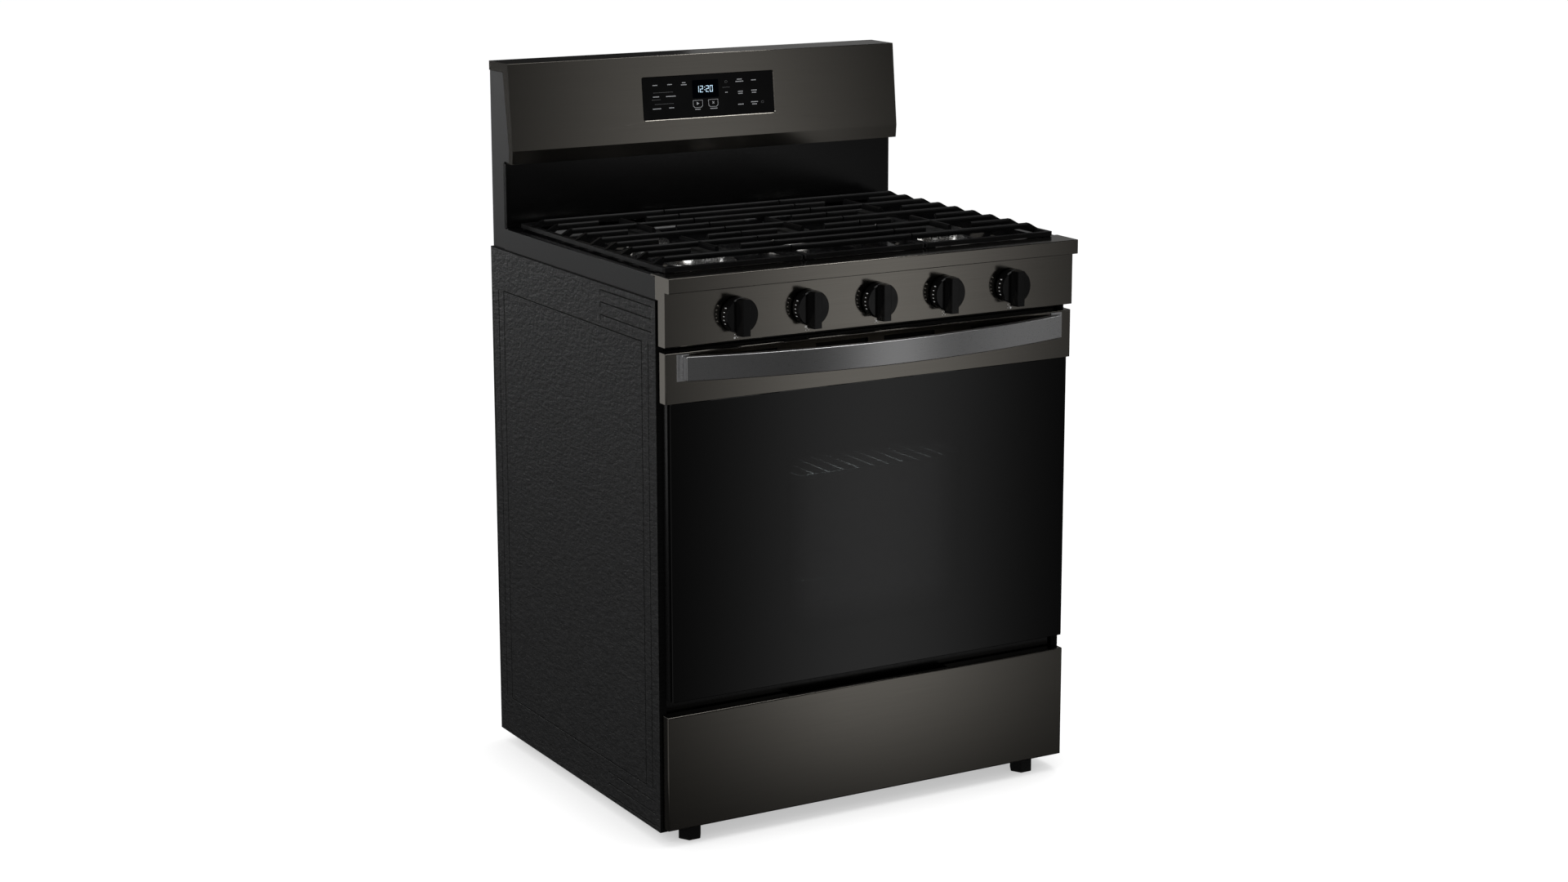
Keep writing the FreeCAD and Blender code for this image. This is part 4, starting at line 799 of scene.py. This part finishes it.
def clock_lens():
    """Barely blue, barely shiny window of the clock."""
    lens = Paint("clock_window", (0.0006, 0.0014, 0.0035), 0.12)
    lens.put("IOR", 1.06)
    lens.wire(lens.spread(lens.noise((1, 1, 1), 40.0), 0.1, 0.18, 0.3, 0.7), "Roughness")
    return lens.material


def make_clock(place):
    clock = bmesh.new()
    for i, digit in enumerate("1220"):
        room = COLON_ROOM if i > 1 else 0.0
        seven_segment(clock, digit, CLOCK_LEFT + i * DIGIT_STEP + room, CLOCK_LOW, place)
    colon = CLOCK_LEFT + 2 * DIGIT_STEP + COLON_DOT / 2
    for height in COLON_DOTS:
        low = CLOCK_LOW + height
        add_plate(clock, rectangle(colon, colon + COLON_DOT, low, low + COLON_DOT), INK, place)
    piece_from("clock_digits", clock, glow("clock_glow", (0.62, 0.84, 1.0), 0.95), "body")


def make_keys(place):
    """Rows of dashes, and the start and stop keys with their signs."""
    keys = bmesh.new()
    dash_row(keys, DASHES, DASH_TALL, DASH_STEP, place)
    for x, sign in KEYS:
        key_outline(keys, x, place)
        if sign == "start":
            arrow = [(x - 2.2, KEY_SIGN - 2.6), (x - 2.2, KEY_SIGN + 2.6), (x + 2.6, KEY_SIGN)]
            add_plate(keys, metres(arrow), INK, place)
        else:
            for turn in (45, -45):
                spin = (Matrix.Translation((x * MM, 0, KEY_SIGN * MM))
                        @ Matrix.Rotation(math.radians(turn), 4, "Y"))
                add_plate(keys, metres(rectangle(-2.7, 2.7, -0.45, 0.45)), INK, place @ spin)
    piece_from("touch_keys", keys, glowing_legend_ink("legend_pale", 0.5, 0.2), "body")


def make_faint_lines(place):
    faint = bmesh.new()
    dash_row(faint, FAINT_LINES, FAINT_TALL, FAINT_STEP, place)
    for x, z in SMALL_FRAMES:
        small_frame(faint, x, z, place)
    piece_from("touch_lines", faint, glowing_legend_ink("legend_faint", 0.16, 0.03), "body")


def make_display():
    face = display_place()
    window = bmesh.new()
    add_plate(window, round_rectangle(*CLOCK_WINDOW, 0.0015), INK * 0.4,
              face @ Matrix.Translation((0, -INK * 0.3, 0)))
    piece_from("clock_window", window, clock_lens(), "body")
    place = face @ Matrix.Translation((0, -INK * 0.8, 0))
    make_clock(place)
    make_keys(place)
    make_faint_lines(place)


# ---------------------------------------------------------------- marks on knobs and panel
MARK_BACK = 0.0075                    # from the knob's rear to the marks on its rim
RIM_CLEAR = 0.00005                   # marks stand this far off the rim
RIM_MARKS = [(152, 0.0040), (166, 0.0028), (179, 0.0028), (191, 0.0028), (203, 0.0034)]   # angle, length
MARK_HALF = 0.0006
PANEL_FACE = PANEL_LOW[1] + 0.0146
DIAGRAM_HEIGHT = 0.8143
DIAGRAM_STEP = 0.0026
DIAGRAM_PLACES = [(-1, 1), (1, 1), (0, 0), (-1, -1), (1, -1)]
DIAGRAM_BURNER = {1: 3, 2: 0, 3: 2, 4: 1, 5: 4}       # which place each knob's burner has
DOT_LARGE, DOT_SMALL = 0.0017, 0.0007


def rim_marks(number, low, high, ink):
    """Flame marks of growing size on the knob's rim."""
    radius = (high[0] - low[0]) / 2
    marks = bmesh.new()
    for angle, long in RIM_MARKS:
        spin = (Matrix.Translation(((low[0] + high[0]) / 2, high[1] - MARK_BACK, high[2] - radius))
                @ Matrix.Rotation(math.radians(-angle), 4, "Y")
                @ Matrix.Translation((radius + RIM_CLEAR, 0, 0)) @ Matrix.Rotation(math.radians(90), 4, "Z"))
        add_plate(marks, rectangle(-long, long * 0.2, -MARK_HALF, MARK_HALF), INK,
                  spin @ Matrix.Translation((0, -INK * 0.5, 0)))
    piece_from("knob_%d_marks" % number, marks, ink, "knob_body_%d" % number)


def burner_diagram(number, centre_x, ink):
    """Five dots on the panel, the large one at the place of this knob's burner."""
    diagram = bmesh.new()
    for i, (column, row) in enumerate(DIAGRAM_PLACES):
        radius = DOT_LARGE if DIAGRAM_BURNER[number] == i else DOT_SMALL
        turns = [math.radians(-30 * k) for k in range(12)]
        disc = [(centre_x + column * DIAGRAM_STEP + radius * math.cos(turn),
                 DIAGRAM_HEIGHT + row * DIAGRAM_STEP + radius * math.sin(turn)) for turn in turns]
        add_plate(diagram, disc, INK, Matrix.Translation((0, PANEL_FACE - INK * 0.5, 0)))
    piece_from("burner_diagram_%d" % number, diagram, ink, "body")


def knob_marks():
    ink = glowing_printed_white()
    for number, (low, high) in enumerate(KNOBS, 1):
        rim_marks(number, low, high, ink)
        burner_diagram(number, (low[0] + high[0]) / 2, ink)


make_camera()
make_lights()
make_softbox()
make_world()
make_floor()
paint_nodes()
soften_edges()
make_display()
knob_marks()
bpy.context.scene.view_settings.view_transform = "Standard"
